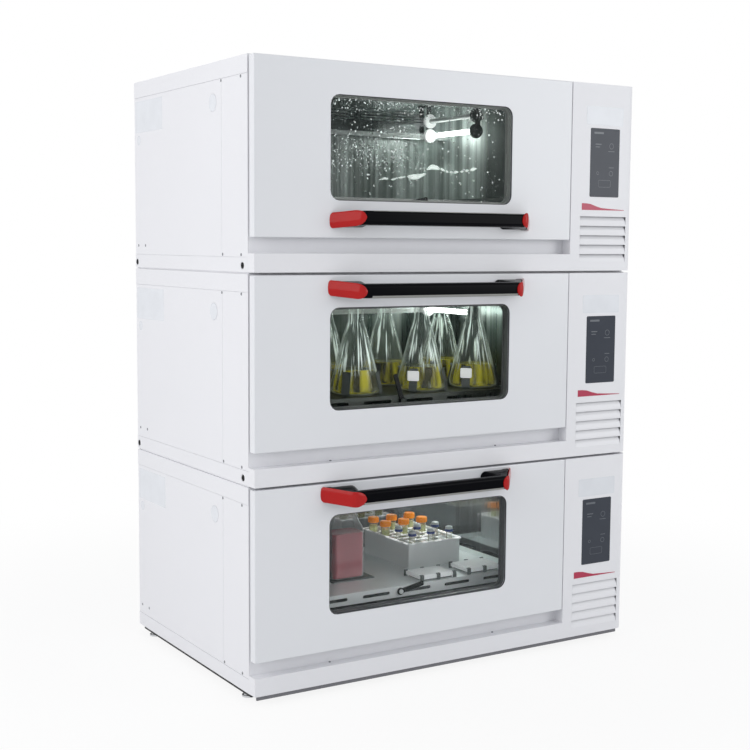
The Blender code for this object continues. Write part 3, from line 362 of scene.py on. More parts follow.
# Painted highlight: the water film's edge glows in bright and dim spots
filmEdgeHighlight.glimmer((0.25, 0.30, 0.27), (0.95, 1.00, 0.98), 60, 3, 0.9)
paneGlass = {
    "bottom": glassFinish("pane_glass", (0.62, 0.70, 0.69), 0.012, 0.70, 4.0),
    "middle": glassFinish("shaded_pane", (0.16, 0.20, 0.18), 0.008, 0.70, 4.0),
    "top": glassFinish("damp_pane", (0.36, 0.43, 0.41), 0.010, 0.70, 4.0),
}
flaskGlass = glassFinish("flask_glass", (0.86, 1.00, 0.93), 0.035, 1.00, 3.4, glintStreaks=0.75)
bottlePlastic = glassFinish("clear_bottle", (0.84, 0.90, 0.90), 0.07, 0.95, 1.7, 0.08)
tubePlastic = glassFinish("clear_tube", (0.88, 0.92, 0.70), 0.22, 0.92, 2.0, 0.12)
waterDrop = glassFinish("water_drop", (0.60, 0.66, 0.66), 0.50, 1.00, 0.9)
# Painted highlights and shade: each drop is dark or bright by a fine noise, and the bright ones glow
dropHighlightAndShade = waterDrop.ramp(waterDrop.noise(210, 1), (0.46, 0), (0.54, 1))
waterDrop.put("Base Color", waterDrop.blend(dropHighlightAndShade, (0.030, 0.038, 0.036), (0.90, 0.96, 0.94)))
waterDrop.glow(dropHighlightAndShade, (0.001, 0.001, 0.001), (0.34, 0.37, 0.36))
# Painted light: the yellow and pale media glow in their bright bands
yellowMedium = fluidFinish("yellow_medium", (0.040, 0.034, 0.004), (0.62, 0.57, 0.030), 0.86, 0.20)
dulled(yellowMedium, 0.2)
pinkMedium = fluidFinish("pink_medium", (0.46, 0.10, 0.13), (0.56, 0.14, 0.17), 0.88)
paleMedium = fluidFinish("pale_medium", (0.60, 0.64, 0.24), (0.74, 0.77, 0.34), 0.90, 0.06)
sealRubber = plasticFinish("seal_rubber", (0.055, 0.058, 0.064), 0.62)
glossBlack = dulled(plasticFinish("gloss_black", (0.0012, 0.0014, 0.0026), 0.20, 160, 0.02), 0.04)
stripGrey = plasticFinish("strip_grey", (0.27, 0.27, 0.255), 0.34)
redLacquer = dulled(plasticFinish("red_lacquer", (0.43, 0.012, 0.012), 0.10, 90, 0.04), 0.16)
crimson = plasticFinish("crimson_stripe", (0.42, 0.018, 0.065), 0.30)
displayGlass = dulled(plasticFinish("display_glass", (0.044, 0.051, 0.067), 0.09, 60, 0.02), 0.2)
displayMark = plasticFinish("display_mark", (0.105, 0.118, 0.138), 0.30)
plateFilm = plasticFinish("plate_film", (0.74, 0.76, 0.80), 0.22)
holderWhite = plasticFinish("holder_white", (0.84, 0.86, 0.85), 0.30)
# Painted light: a faint glow brightens the white holders
holderWhite.glimmer((0.20, 0.21, 0.21), (0.30, 0.31, 0.31))
strapGrey = plasticFinish("strap_grey", (0.06, 0.07, 0.07), 0.45)
# Painted shade: the front holders are the white holders' shape in a dark finish
holderShaded = plasticFinish("holder_shaded", (0.05, 0.065, 0.062), 0.40)
tubeOff = plasticFinish("tube_unlit", (0.66, 0.69, 0.68), 0.16)
tubeLit = {deck: tubeFinish(deck, power) for deck, power in (("bottom", 22), ("middle", 10), ("top", 8))}
blackSteel = dulled(plasticFinish("black_steel", (0.006, 0.007, 0.008), 0.50), 0.2)
castGrey = plasticFinish("cast_grey", (0.20, 0.21, 0.23), 0.50, 120, 0.30)
footSteel = steelFinish("foot_steel", (0.62, 0.63, 0.65), 0.30, 160, 0.10, (1, 1, 1))
orangeCap = plasticFinish("orange_cap", (1.0, 0.32, 0.008), 0.30)
# Painted light: a faint orange glow brightens the caps
orangeCap.glimmer((0.10, 0.028, 0.001), (0.16, 0.046, 0.001))
blueCap = plasticFinish("blue_cap", (0.035, 0.075, 0.30), 0.34)
clearCap = plasticFinish("frosted_cap", (0.70, 0.75, 0.78), 0.35)
padWhite = plasticFinish("pad_white", (0.90, 0.93, 0.93), 0.40)
# Painted light: a faint glow brightens the pads
padWhite.glimmer((0.06, 0.065, 0.065), (0.10, 0.105, 0.105))
tabWhite = plasticFinish("tab_white", (0.92, 0.94, 0.93), 0.40)
# Painted light: a glow brightens the tabs
tabWhite.glimmer((0.34, 0.35, 0.35), (0.42, 0.43, 0.43))
# Painted shade: a grey strip stands for the dark band under the bottom sill
lipGrey = plasticFinish("lip_grey", (0.15, 0.15, 0.165), 0.50)
clipGrey = plasticFinish("clip_grey", (0.13, 0.15, 0.15), 0.45)
screwSteel = steelFinish("screw_steel", (0.26, 0.27, 0.29), 0.35, 150, 0.10, (1, 1, 1))
print("finishes made")


# Shapes

def roundedOutline(left, low, farRight, high, radius, steps):
    corners = (
        (farRight - radius, high - radius, 0),
        (left + radius, high - radius, 90),
        (left + radius, low + radius, 180),
        (farRight - radius, low + radius, 270),
    )
    outline = []
    for x, y, start in corners:
        for step in range(steps + 1):
            angle = math.radians(start + 90 * step / steps)
            outline.append((x + radius * math.cos(angle), y + radius * math.sin(angle)))
    return outline


spreads = {
    "X": lambda a, b, depth: (depth, a, b),
    "Y": lambda a, b, depth: (a, depth, b),
    "Z": lambda a, b, depth: (a, b, depth),
}


def rings(bm, rows, closed=False):
    # Skins rows of points; a row of one point closes to a tip
    made = [[bm.verts.new(point) for point in row] for row in rows]
    pairs = list(zip(made, made[1:])) + ([(made[-1], made[0])] if closed else [])
    for near, far in pairs:
        count = max(len(near), len(far))
        for i in range(count):
            j = (i + 1) % count
            if len(near) == 1:
                bm.faces.new((near[0], far[j], far[i]))
            elif len(far) == 1:
                bm.faces.new((near[i], near[j], far[0]))
            else:
                bm.faces.new((near[i], near[j], far[j], far[i]))
    if not closed:
        for row in (made[0], made[-1]):
            if len(row) > 2:
                bm.faces.new(row)


def prism(bm, outline, near, far, axis="Y"):
    spread = spreads[axis]
    rings(bm, [[spread(a, b, depth) for a, b in outline] for depth in (near, far)])


def frameRing(bm, section, edges, radius, steps=6):
    # A closed frame: each corner of the section is (growth of the outline, depth)
    left, low, farRight, high = edges
    rows = []
    for grow, depth in section:
        outline = roundedOutline(
            left - grow, low - grow, farRight + grow, high + grow, max(radius + grow, 0.2), steps
        )
        rows.append([(x, depth, z) for x, z in outline])
    rings(bm, rows, closed=True)


def ringAngles(count):
    return [2 * math.pi * k / count for k in range(count)]


def turned(bm, profile, place, axis=up, sides=32):
    # A lathe: profile runs (radius, height) along the axis
    turn = up.rotation_difference(Vector(axis)).to_matrix().to_4x4()
    matrix = Matrix.Translation(Vector(place)) @ turn
    rows = []
    for radius, height in profile:
        angles = ringAngles(sides) if radius > 0 else [0.0]
        rows.append([matrix @ Vector((radius * math.cos(a), radius * math.sin(a), height)) for a in angles])
    rings(bm, rows)


def lathe(name, deck, profile, places, finish, slot, axis=up, sides=32, body="cabinet"):
    # The same turned shape at each place, as one piece
    bm = bmesh.new()
    for place in places:
        turned(bm, profile, place, axis, sides)
    return piece(name, deck, bm, finish, body, slot)


def rod(bm, start, end, radius, sides):
    start = Vector(start)
    span = Vector(end) - start
    soft = radius * 0.3
    profile = [(radius - soft, 0), (radius, soft), (radius, span.length - soft), (radius - soft, span.length)]
    turned(bm, profile, start, span, sides)


def ribs(bm, x, y, radius, low, height, thickness, count):
    # Upright ribs round a cap
    for a in ringAngles(count):
        foot = Vector((x + radius * math.cos(a), y + radius * math.sin(a), low))
        rod(bm, foot, foot + Vector((0, 0, height)), thickness, 6)


def loop(bm, path, radius, sides):
    # A closed wire
    points = [Vector(point) for point in path]
    rows = []
    for i, point in enumerate(points):
        along = (points[(i + 1) % len(points)] - points[i - 1]).normalized()
        side = along.cross(up if abs(along.z) < 0.9 else right).normalized()
        top = side.cross(along)
        rows.append([point + radius * (side * math.cos(a) + top * math.sin(a)) for a in ringAngles(sides)])
    rings(bm, rows, closed=True)


def soften(bm, width, steps=2, keep=None):
    edges = [
        e for e in bm.edges
        if len(e.link_faces) == 2 and e.calc_face_angle(0) > 0.6 and (keep is None or keep(e))
    ]
    if edges:
        bmesh.ops.bevel(
            bm, geom=edges, offset=width, segments=steps, profile=0.5, affect="EDGES", clamp_overlap=True
        )


def absorb(bm, part):
    mesh = meshOf("part", part)
    bm.from_mesh(mesh)
    bpy.data.meshes.remove(mesh)


def block(bm, low, high, edge):
    part = bmesh.new()
    low, high = Vector(low), Vector(high)
    bmesh.ops.create_cube(part, size=1)
    bmesh.ops.scale(part, vec=high - low, verts=part.verts)
    bmesh.ops.translate(part, vec=(low + high) / 2, verts=part.verts)
    if edge:
        soften(part, edge)
    absorb(bm, part)


def softPrism(bm, outline, near, far, edge, axis="Y"):
    part = bmesh.new()
    prism(part, outline, near, far, axis)
    soften(part, edge)
    absorb(bm, part)


def carved(bm, cutter):
    # Cuts one mesh from another and gives back the result
    tools = []
    for part in (bm, cutter):
        bmesh.ops.recalc_face_normals(part, faces=part.faces)
        tools.append(placed("tool", meshOf("tool", part)))
    cut = tools[0].modifiers.new("cut", "BOOLEAN")
    cut.operation = "DIFFERENCE"
    cut.solver = "EXACT"
    cut.object = tools[1]
    graph = bpy.context.evaluated_depsgraph_get()
    result = bmesh.new()
    result.from_mesh(tools[0].evaluated_get(graph).to_mesh())
    for tool in tools:
        mesh = tool.data
        bpy.data.objects.remove(tool)
        bpy.data.meshes.remove(mesh)
    bmesh.ops.remove_doubles(result, verts=result.verts, dist=weldDistance)
    return result


def piece(name, deck, bm, finish, body="cabinet", slot=None, stands=(), angle=35, smooth=True):
    bmesh.ops.recalc_face_normals(bm, faces=bm.faces)
    bm.transform(deckMatrix[deck])
    mesh = meshOf(name, bm)
    obj = placed(f"{deck}_{name}", mesh)
    mesh.materials.append(finish.material)
    if smooth:
        mesh.shade_smooth()
        mesh.set_sharp_from_angle(angle=math.radians(angle))
        weighted = obj.modifiers.new("flat faces stay flat", "WEIGHTED_NORMAL")
        weighted.keep_sharp = True
        weighted.weight = 90
    else:
        mesh.shade_flat()
    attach(obj, body if body == "cabinet" else f"{deck}_{body}")
    if stands:
        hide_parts(*(f"{deck}_{node}" for node in stands))
    return obj


def paint(finish, *names):
    for name in names:
        materials = nodes[name].data.materials
        materials.clear()
        materials.append(finish.material)


def fromNode(deck, name):
    # The CAD node's own mesh in the deck's millimetres, joined up and with its flat faces whole
    bm = bmesh.new()
    bm.from_mesh(nodes[f"{deck}_{name}"].data)
    bm.transform(deckMatrix[deck].inverted())
    bmesh.ops.remove_doubles(bm, verts=bm.verts, dist=weldDistance)
    bmesh.ops.dissolve_limit(bm, angle_limit=flatAngle, verts=bm.verts, edges=bm.edges)
    return bm


foldedSheet = ("cabinet_shell", "front_fascia", "air_duct", "shaker_tray", "tube_rack")


def dressed(deck, name, finish, edge, slot, body="cabinet", keep=None, cutters=()):
    # The CAD piece again with its edges rounded off, and with holes or seats cut for what goes on it
    bm = fromNode(deck, name)
    for cutter in cutters:
        bm = carved(bm, cutter)
    bmesh.ops.dissolve_limit(bm, angle_limit=flatAngle, verts=bm.verts, edges=bm.edges)
    soften(bm, edge, keep=keep)
    smooth = name not in foldedSheet
    return piece(f"{name}_dressed", deck, bm, finish, body, slot, [name], 20, smooth)


# Cabinet

cabinet = {
    "boltPlaces": ((0, 34, 22), (0, 788, 21)),
    "boltDecks": ("middle", "top"),
    "boltSeat": 10.5,
    "boltRadius": 8.5,
    "boltDepth": 2.4,
    "sideHeights": (45, 530),
    "sideDepths": (0.4, 799.6),
    "sideSeam": (161.5, 162.5),
    "sideFace": 0.55,
    "sideBack": 1.5,
    "port": (0, 218, 470),
    "portRadius": 24.4,
    "screws": ((0, 41, 525), (0, 163, 525), (0, 41, 51), (0, 157, 51), (0, 719, 73), (0, 775, 73)),
    "screwRadius": 4.4,
    "plate": (578, 423, 792, 520),
    "roundPlate": (0, 765, 400),
    "roundPlateRadius": 15,
}


def shellSeats():
    seat, depth = cabinet["boltSeat"], cabinet["boltDepth"]
    cutter = bmesh.new()
    for place in cabinet["boltPlaces"]:
        turned(cutter, [(seat + 0.8, -1.0), (seat + 0.8, 0.001), (seat, 0.8), (seat, depth)], place, right)
    return cutter


def makeShell(deck):
    bolted = deck in cabinet["boltDecks"]
    cutters = [shellSeats()] if bolted else []
    if deck == "top":
        trim = bmesh.new()  # takes the roof plugs off the shell, because they have a finish of their own
        block(trim, (-50, -50, 579.7), (200, 900, 600), 0)
        cutters.append(trim)
    dressed(
        deck, "cabinet_shell", whitePaint, 1.1, "white_paint",
        keep=lambda e: all(v.co.y > -1 for v in e.verts) and max(v.co.y for v in e.verts) < 801,
        cutters=cutters,
    )
    if bolted:
        r = cabinet["boltRadius"]
        profile = [(r, 2.4), (r, 0.7), (r - 0.8, 0.3), (r * 0.55, 0.3), (r * 0.5, 1.9), (0, 1.9)]
        lathe("stacking_bolts", deck, profile, cabinet["boltPlaces"], blackSteel, "black_steel", right, 18)


def makeSide(deck):
    face, inner, seam = cabinet["sideFace"], cabinet["sideBack"], cabinet["sideSeam"]
    low, high = cabinet["sideHeights"]
    near, far = cabinet["sideDepths"]
    port, r = cabinet["port"], cabinet["portRadius"]
    hole, front, rear = bmesh.new(), bmesh.new(), bmesh.new()
    turned(hole, [(r + 0.5, -5), (r + 0.5, 10)], port, right, 40)
    block(front, (face, near, low), (inner, seam[0], high), 0.4)
    block(rear, (face, seam[1], low), (inner, far, high), 0.4)
    absorb(front, carved(rear, hole))
    piece("side_panels", deck, front, whitePaint, slot="white_paint", stands=["side_cover"])
    s = cabinet["screwRadius"]
    profile = [(s, 0.55), (s * 0.95, 0.3), (s * 0.7, 0.08), (s * 0.45, 0.02), (s * 0.4, 0.5), (0, 0.5)]
    lathe("cover_screws", deck, profile, cabinet["screws"], screwSteel, "black_steel", right, 16)
    profile = [(r - 0.2, 0.28), (r - 0.6, 0.05), (r - 2.4, 0.02), (r - 3.4, 0.26), (r * 0.62, 0.28),
               (r * 0.5, 0.12), (0, 0.1)]
    lathe("port_cap", deck, profile, [port], plateFilm, "white_paint", right, 48)
    plates = bmesh.new()
    softPrism(plates, roundedOutline(*cabinet["plate"], 3, 4), 0.25, 0.56, 0.1, "X")
    r = cabinet["roundPlateRadius"]
    turned(plates, [(r, 0.56), (r, 0.3), (r - 0.3, 0.2), (0, 0.2)], cabinet["roundPlate"], right, 32)
    piece("side_plates", deck, plates, plateFilm, slot="white_paint")


roof = {"plugs": ((20, 34, 579.72), (20, 770, 579.72)), "radius": 10, "rise": 2.5}


def makeRoofPlugs():
    r, h = roof["radius"], roof["rise"]
    crown = [(r, h - 1.0), (r - 0.9, h - 0.2), (r * 0.5, h - 0.05)]
    profile = [(r, 0)] + crown + [(r * 0.42, h - 0.8), (0, h - 0.8)]
    lathe("roof_plugs", "top", profile, roof["plugs"], castGrey, "black_steel", sides=28)


for deck in decks:
    makeShell(deck)
    makeSide(deck)
makeRoofPlugs()
print("cabinet shells and sides made")


# Sill and control column

column = {
    "face": -38.0,
    "plate": (1137, 452, 1285, 508),
    "stripe": (
        (1124, 191), (1296, 191.5), (1296, 193), (1243, 195.6), (1203, 198), (1182, 203), (1160, 209.5),
        (1142, 211.5), (1124, 211.6),
    ),
    "ledgeScrews": ((252, -8, 55), (828, -8, 55)),
    "ledgeScrewDecks": ("bottom", "middle"),
    "ledgeScrewRadius": 3.2,
    "ledgeScrewHeight": 2.6,
    "lip": ((6, -36.2, -6.8), (1306, -31, 4)),
}


def makeColumn(deck):
    dressed(deck, "front_fascia", whitePaint, 0.7, "white_paint")
    dressed(deck, "touch_panel", displayGlass, 0.5, "panel_glass")
    face = column["face"]
    plate, stripe = bmesh.new(), bmesh.new()
    softPrism(plate, roundedOutline(*column["plate"], 4, 4), face - 0.45, face + 0.3, 0.15)
    piece("column_plate", deck, plate, plateFilm, slot="white_paint")
    prism(stripe, column["stripe"], face - 0.4, face + 0.3)
    piece("column_stripe", deck, stripe, crimson, slot="handle_red")
    if deck in column["ledgeScrewDecks"]:
        r, rise = column["ledgeScrewRadius"], column["ledgeScrewHeight"]
        socket = [(0, rise * 0.55), (r * 0.3, rise * 0.55), (r * 0.3, rise)]
        profile = socket + [(r * 0.7, rise), (r, rise * 0.6), (r, 0)]
        lathe("ledge_screws", deck, profile, column["ledgeScrews"], screwSteel, "black_steel", sides=20)
    if deck == "bottom":
        # Painted shade: a grey strip along the underside of the front, for the dark band under the sill
        lip = bmesh.new()
        block(lip, *column["lip"], 0.5)
        piece("sill_lip", deck, lip, lipGrey, slot="black_steel")


panelMarks = {
    "rings": ((85, 389, 9), (85, 305, 8), (31, 305, 5)),
    "bars": (
        (20, 392, 44, 395), (20, 384, 38, 386.5), (72, 372, 98, 374), (76, 322, 96, 324), (14, 425, 52, 431),
    ),
    "frame": (34, 262, 84, 284),
}


def makePanelMarks(deck):
    low = deckBox(deck, "touch_panel")[0]
    face = low.y
    marks = bmesh.new()
    for x, z, r in panelMarks["rings"]:
        profile = [(r, 0.02), (r, -0.2), (r - 1.4, -0.2), (r - 1.4, 0.02)]
        turned(marks, profile, (low.x + x, face, z), back, 28)
    for left, bottom, farRight, top in panelMarks["bars"]:
        corner = min(1.1, (top - bottom) * 0.45)
        outline = roundedOutline(low.x + left, bottom, low.x + farRight, top, corner, 3)
        softPrism(marks, outline, face - 0.2, face + 0.02, 0.05)
    left, bottom, farRight, top = panelMarks["frame"]
    section = ((0, face + 0.02), (0, face - 0.15), (-1, face - 0.15), (-1, face + 0.02))
    frameRing(marks, section, (low.x + left, bottom, low.x + farRight, top), 5)
    piece("panel_marks", deck, marks, displayMark, slot="panel_glass")


for deck in decks:
    makeColumn(deck)
    makePanelMarks(deck)
print("sills and control columns made")


# Doors

window = {
    "radius": 28,
    "gasket": ((0.0, -36.8), (-0.6, -37.5), (-1.6, -37.4), (-2.4, -36.2), (-2.4, -33.8), (0.0, -33.8)),
    "spacer": ((-0.6, -30.2), (-3.6, -30.2), (-3.6, -15.8), (-0.6, -15.8)),
    "bead": ((-0.4, -12.2), (-7.0, -12.2), (-7.0, -10.4), (-5.5, -9.2), (-1.6, -9.2), (-0.4, -10.2)),
    "outer_pane": (-34.0, -30.0),
    "inner_pane": (-16.0, -12.0),
}


def makeDoor(deck):
    dressed(
        deck, "door_panel", doorPaint, 0.6, "door_paint", "door", keep=lambda e: e.calc_face_angle(0) > 1.2
    )
    low, high = deckBox(deck, "door_window")
    edges = (low.x - 0.3, low.z - 0.3, high.x + 0.3, high.z + 0.3)  # the door's opening itself
    for name, finish, slot in (
        ("gasket", sealRubber, "seal_rubber"),
        ("spacer", spacerMetal[deck], "satin_steel"),
        ("bead", spacerMetal[deck], "satin_steel"),
    ):
        bm = bmesh.new()
        frameRing(bm, window[name], edges, window["radius"], 8)
        piece(f"window_{name}", deck, bm, finish, "door", slot)
    outline = roundedOutline(edges[0] + 0.5, edges[1] + 0.5, edges[2] - 0.5, edges[3] - 0.5, 27.5, 8)
    for name in ("outer_pane", "inner_pane"):
        bm = bmesh.new()
        softPrism(bm, outline, *window[name], 0.4)
        piece(f"window_{name}", deck, bm, paneGlass[deck], "door", "glass", ["door_window"])


handle = {
    "face": -38.3,
    "reach": 76.7,
    "span": {"bottom": 658, "middle": 676, "top": 686},
    "slant": 64,
    "height": 39,
    "thickness": 26,
    "bend": 22,
    "edge": 9,
    "shift": {"bottom": -4, "middle": 26.5, "top": 36},
    "rise": {"bottom": 539, "middle": 532, "top": 154.5},
    "lean": {"bottom": 9.5, "middle": 9.5, "top": -9.5},
    "capThickness": 3,
    "capHeight": 43,
    "capTip": {"bottom": (27, 8), "middle": (4, 8), "top": (-4, 8)},
    "capNose": (34, 18),
    "capStart": 5,
    "capCrown": 2.4,
    "legShares": (0.0, 0.04, 0.08, 0.14, 0.22, 0.34, 0.5, 0.7, 0.85),
    "noseShares": (1.0, 0.85, 0.7, 0.56, 0.44, 0.33, 0.23, 0.15, 0.08, 0.03, 0.0),
    "footRows": ((0.0, 112, 16, 0.94), (0.12, 111, 24, 1.0), (0.35, 106, 40, 1.0), (0.60, 98, 58, 0.97)),
    "stripLift": 0.5,
    "stripSide": {"bottom": -1, "middle": -1, "top": 1},
    "steps": 10,
}


def handlePath(deck, centre):
    # Stations along the outer face, as (x, y) and outward (x, y), from the left foot to the end of its bend
    slope = math.atan2(handle["reach"], handle["slant"])
    foot = Vector((centre - handle["span"][deck] / 2, handle["face"]))
    corner = foot + Vector((handle["slant"], -handle["reach"]))
    turnCentre = corner + Vector((handle["bend"] * math.tan(slope / 2), handle["bend"]))
    stations = [(foot, Vector((-1 / math.sin(slope), 0)))]
    for step in range(handle["steps"] + 1):
        angle = slope * (1 - step / handle["steps"])
        outward = Vector((-math.sin(angle), -math.cos(angle)))
        stations.append((turnCentre + handle["bend"] * outward, outward))
    return stations, (corner - foot).normalized()


def mirroredStations(stations, centre):
    return [(Vector((2 * centre - p.x, p.y)), Vector((-out.x, out.y))) for p, out in reversed(stations)]


def handleRow(point, out, outline, z):
    return [(point.x - out.x * a, point.y - out.y * a, z + b) for a, b in outline]


def leanHandle(deck, bm):
    # The bar stands nearer to the window's height than its feet do
    slope = handle["lean"][deck] / handle["reach"]
    for vert in bm.verts:
        vert.co.z += slope * (vert.co.y - handle["face"] + handle["reach"])


def makeBar(deck, centre, z):
    left, along = handlePath(deck, centre)
    stations = left + mirroredStations(left, centre)
    depth, half = handle["capThickness"], handle["height"] / 2
    outline = roundedOutline(depth, -half, depth + handle["thickness"], half, handle["edge"], 6)
    bar = bmesh.new()
    rings(bar, [handleRow(point, out, outline, z) for point, out in stations])
    leanHandle(deck, bar)
    piece("handle_bar_dressed", deck, bar, glossBlack, "door", "handle_black", ["handle_bar"], 40)

    # The strip is laid into the long edge that faces the window
    side = handle["stripSide"][deck]
    edge, lift = handle["edge"], handle["stripLift"]
    shares = (10, 27, 44, 61, 78) if side < 0 else (48, 62, 78)
    arc = []
    for degrees in shares:
        angle = math.radians(degrees)
        arc.append((depth + edge - math.cos(angle) * edge, side * (half - edge + math.sin(angle) * edge)))
    outer = [(a - lift * math.cos(math.radians(d)), b + side * lift * math.sin(math.radians(d)))
             for (a, b), d in zip(arc, shares)]
    section = outer + arc[::-1]
    start = left[-1][0].x + 22
    end = 2 * centre - left[-1][0].x - 4
    strip = bmesh.new()
    out = Vector((0, -1))
    ys = left[-1][0].y
    rings(strip, [handleRow(Vector((x, ys)), out, section, z) for x in (start, end)])
    leanHandle(deck, strip)
    piece("handle_strip", deck, strip, stripGrey, "door", "handle_black")


def makeHandleFeet(deck, centre, z):
    # A wide foot behind each leg, which narrows towards the bar
    feet = bmesh.new()
    face, half = handle["face"], handle["height"] / 2
    outer = handle["span"][deck] / 2
    for side in (-1, 1):
        rows = []
        for share, inner, leg, height in handle["footRows"]:
            a, b = sorted((centre + side * (outer - inner), centre + side * (outer - leg)))
            tall = half * height - 0.4
            outline = roundedOutline(a, z - tall, b, z + tall, min(tall, (b - a) / 2) - 0.3, 6)
            rows.append([(x, face - handle["reach"] * share, v) for x, v in outline])
        rings(feet, rows)
    leanHandle(deck, feet)
    piece("handle_feet", deck, feet, glossBlack, "door", "handle_black", angle=40)


def stationAt(points, lengths, distance):
    for (a, outA), (b, outB), low, high in zip(points, points[1:], lengths, lengths[1:]):
        if distance <= high:
            share = (distance - low) / (high - low)
            return a.lerp(b, share), outA.lerp(outB, share)
    return points[-1]


def makeCap(deck, centre, z, mirrored):
    stations, along = handlePath(deck, centre)
    foot, footOut = stations[0]
    bend = stations[1:]
    straight = (bend[0][0] - foot).length
    points = []
    for share in handle["legShares"]:
        points.append((foot + along * straight * share, footOut.lerp(bend[0][1], min(1.0, share * 4))))
    points += bend
    points.append((bend[-1][0] + Vector((handle["slant"], 0)), bend[-1][1]))
    lengths = [0.0]
    for (a, _), (b, _) in zip(points, points[1:]):
        lengths.append(lengths[-1] + (b - a).length)
    nose, start, inside = handle["capNose"][mirrored], handle["capStart"], handle["capThickness"] - 0.3
    whole = lengths[-2] + handle["capTip"][deck][mirrored]
    places = [length for length in lengths if length < whole - nose]
    places += [whole - nose * share for share in handle["noseShares"]]
    rows = []
    for length in places:
        point, out = stationAt(points, lengths, length)
        half, crown = handle["capHeight"] / 2, handle["capCrown"]
        if length > whole - nose:
            share = 1 - (whole - length) / nose
            half *= max(0.10, math.sqrt(max(0.0, 1 - share * share)))
            crown *= max(0.15, 1 - share ** 3)
        elif length < start:
            half *= 0.86 + 0.14 * math.sqrt(1 - (1 - length / start) ** 2)
        section = []
        for k in range(13):
            share = -1 + k / 6
            depth = inside * 0.45 if abs(share) == 1 else -crown * (1 - share * share)
            section.append((depth, half * share))
        section += [(inside, half), (inside, -half)]
        rows.append(handleRow(point, out, section, z))
    cap = bmesh.new()
    rings(cap, rows)
    if mirrored:
        bmesh.ops.scale(cap, vec=(-1, 1, 1), verts=cap.verts, space=Matrix.Translation((-centre, 0, 0)))
    leanHandle(deck, cap)
    node = f"handle_cap_{'right' if mirrored else 'left'}"
    piece(f"{node}_dressed", deck, cap, redLacquer, "door", "handle_red", [node], 50)


doorMiddle = 539.5
for deck in decks:
    makeDoor(deck)
    centre, z = doorMiddle + handle["shift"][deck], handle["rise"][deck]
    makeBar(deck, centre, z)
    makeHandleFeet(deck, centre, z)
    makeCap(deck, centre, z, False)
    makeCap(deck, centre, z, True)
print("doors, windows and handles made")


# Water drops on the inside of the top window

drops = {"count": 1500, "seed": 7, "face": -12.0, "small": 0.7, "large": 2.7}


def dropChance(x, z):
    # Dense at the top and over the left half, and thin at the lower right
    alongX = (x - 232) / 620
    alongZ = (z - 200) / 287
    top = max(0.0, (alongZ - 0.80) / 0.20) * max(0.35, 1 - alongX * 0.5)
    leftPatch = math.exp(-((alongX - 0.27) ** 2) / 0.045 - ((alongZ - 0.48) ** 2) / 0.040)
    return min(1.0, top + leftPatch * 0.9 + 0.05)


def makeDrops():
    draw = random.Random(drops["seed"])
    bm = bmesh.new()
    made = 0
    while made < drops["count"]:
        x, z = draw.uniform(238, 847), draw.uniform(206, 481)
        if draw.random() > dropChance(x, z):
            continue
        radius = drops["small"] + (drops["large"] - drops["small"]) * draw.random() ** 2.5
        drawn = 1 + draw.random() * 0.5
        rows = []
        for share, lift in ((1.0, 0.0), (0.86, 0.34), (0.52, 0.62)):
            y = drops["face"] + radius * lift
            row = []
            for a in ringAngles(9):
                across, rise = radius * share * math.cos(a), radius * share * math.sin(a)
                row.append((x + across, y, z + rise * (drawn if math.sin(a) < 0 else 1)))
            rows.append(row)
        rings(bm, rows + [[(x, drops["face"] + radius * 0.7, z)]])
        made += 1
    piece("window_drops", "top", bm, waterDrop, "door", "glass", angle=80)


makeDrops()
print("water drops made")


# Chambers

lamp = {
    "x": 943,
    "front": 260,
    "back": 543,
    "heights": (492, 443),
    "holderRadius": 23.4,
    "holderLength": 16,
    "tubeRadius": 8,
    "ceiling": 544.6,
}


def holder(bm, y, z, outward):
    r, length = lamp["holderRadius"], lamp["holderLength"]
    groove = [(0, 0.0), (r * 0.42, 0.0), (r * 0.46, 0.8), (r * 0.62, 0.8), (r * 0.70, 0.1)]
    rim = [(r - 1.5, 0.0), (r, 1.6), (r, length * 0.42), (r - 2.2, length * 0.55), (r - 2.2, length * 0.8)]
    turned(bm, groove + rim + [(r * 0.62, length), (0, length)], (lamp["x"], y, z), (0, outward, 0), 36)


def makeLamp(deck):
    white, dark, straps = bmesh.new(), bmesh.new(), bmesh.new()
    x, front, rear, length = lamp["x"], lamp["front"], lamp["back"], lamp["holderLength"]
    ceiling = lamp["ceiling"]
    for y in (front, rear - 6):
        block(straps, (x - 9, y, lamp["heights"][1]), (x + 9, y + 6, ceiling), 1.2)
        block(straps, (x - 16, y - 6, ceiling - 3), (x + 16, y + 12, ceiling), 1.0)
    for z in lamp["heights"]:
        holder(white, rear - length, z, 1)
        holder(dark, front + length, z, -1)
    piece("lamp_holders", deck, white, holderWhite, slot="lamp_white", stands=["chamber_lamp"])
    # The front holders are drawn dark: painted shade
    piece("lamp_front_holders", deck, dark, holderShaded, slot="seal_rubber")
    piece("lamp_straps", deck, straps, strapGrey, slot="satin_steel")
    r, start = lamp["tubeRadius"], front + length - 3
    span = rear - length + 3 - start
    half = [(r * 0.6, 0), (r * 0.95, 1.5), (r, 12), (r * 0.97, 12.6)]
    profile = half + [(radius, span - height) for radius, height in reversed(half)]
    for label, z, finish in zip(("upper", "lower"), lamp["heights"], (tubeOff, tubeLit[deck])):
        lathe(f"lamp_tube_{label}", deck, profile, [(x, start, z)], finish, "lamp_white", back, 24)


ledge = {"inset": 2, "height": 15, "thickness": 0.9}


def makeLedge(deck):
    low, high = deckBox(deck, "air_duct")
    bm = bmesh.new()
    block(
        bm, (low.x + ledge["inset"], low.y - ledge["thickness"], low.z + 1.2),
        (high.x - ledge["inset"], low.y + 0.2, low.z + 1.2 + ledge["height"]), 0.3,
    )
    piece("duct_ledge_trim", deck, bm, ledgeSteel, slot="satin_steel")


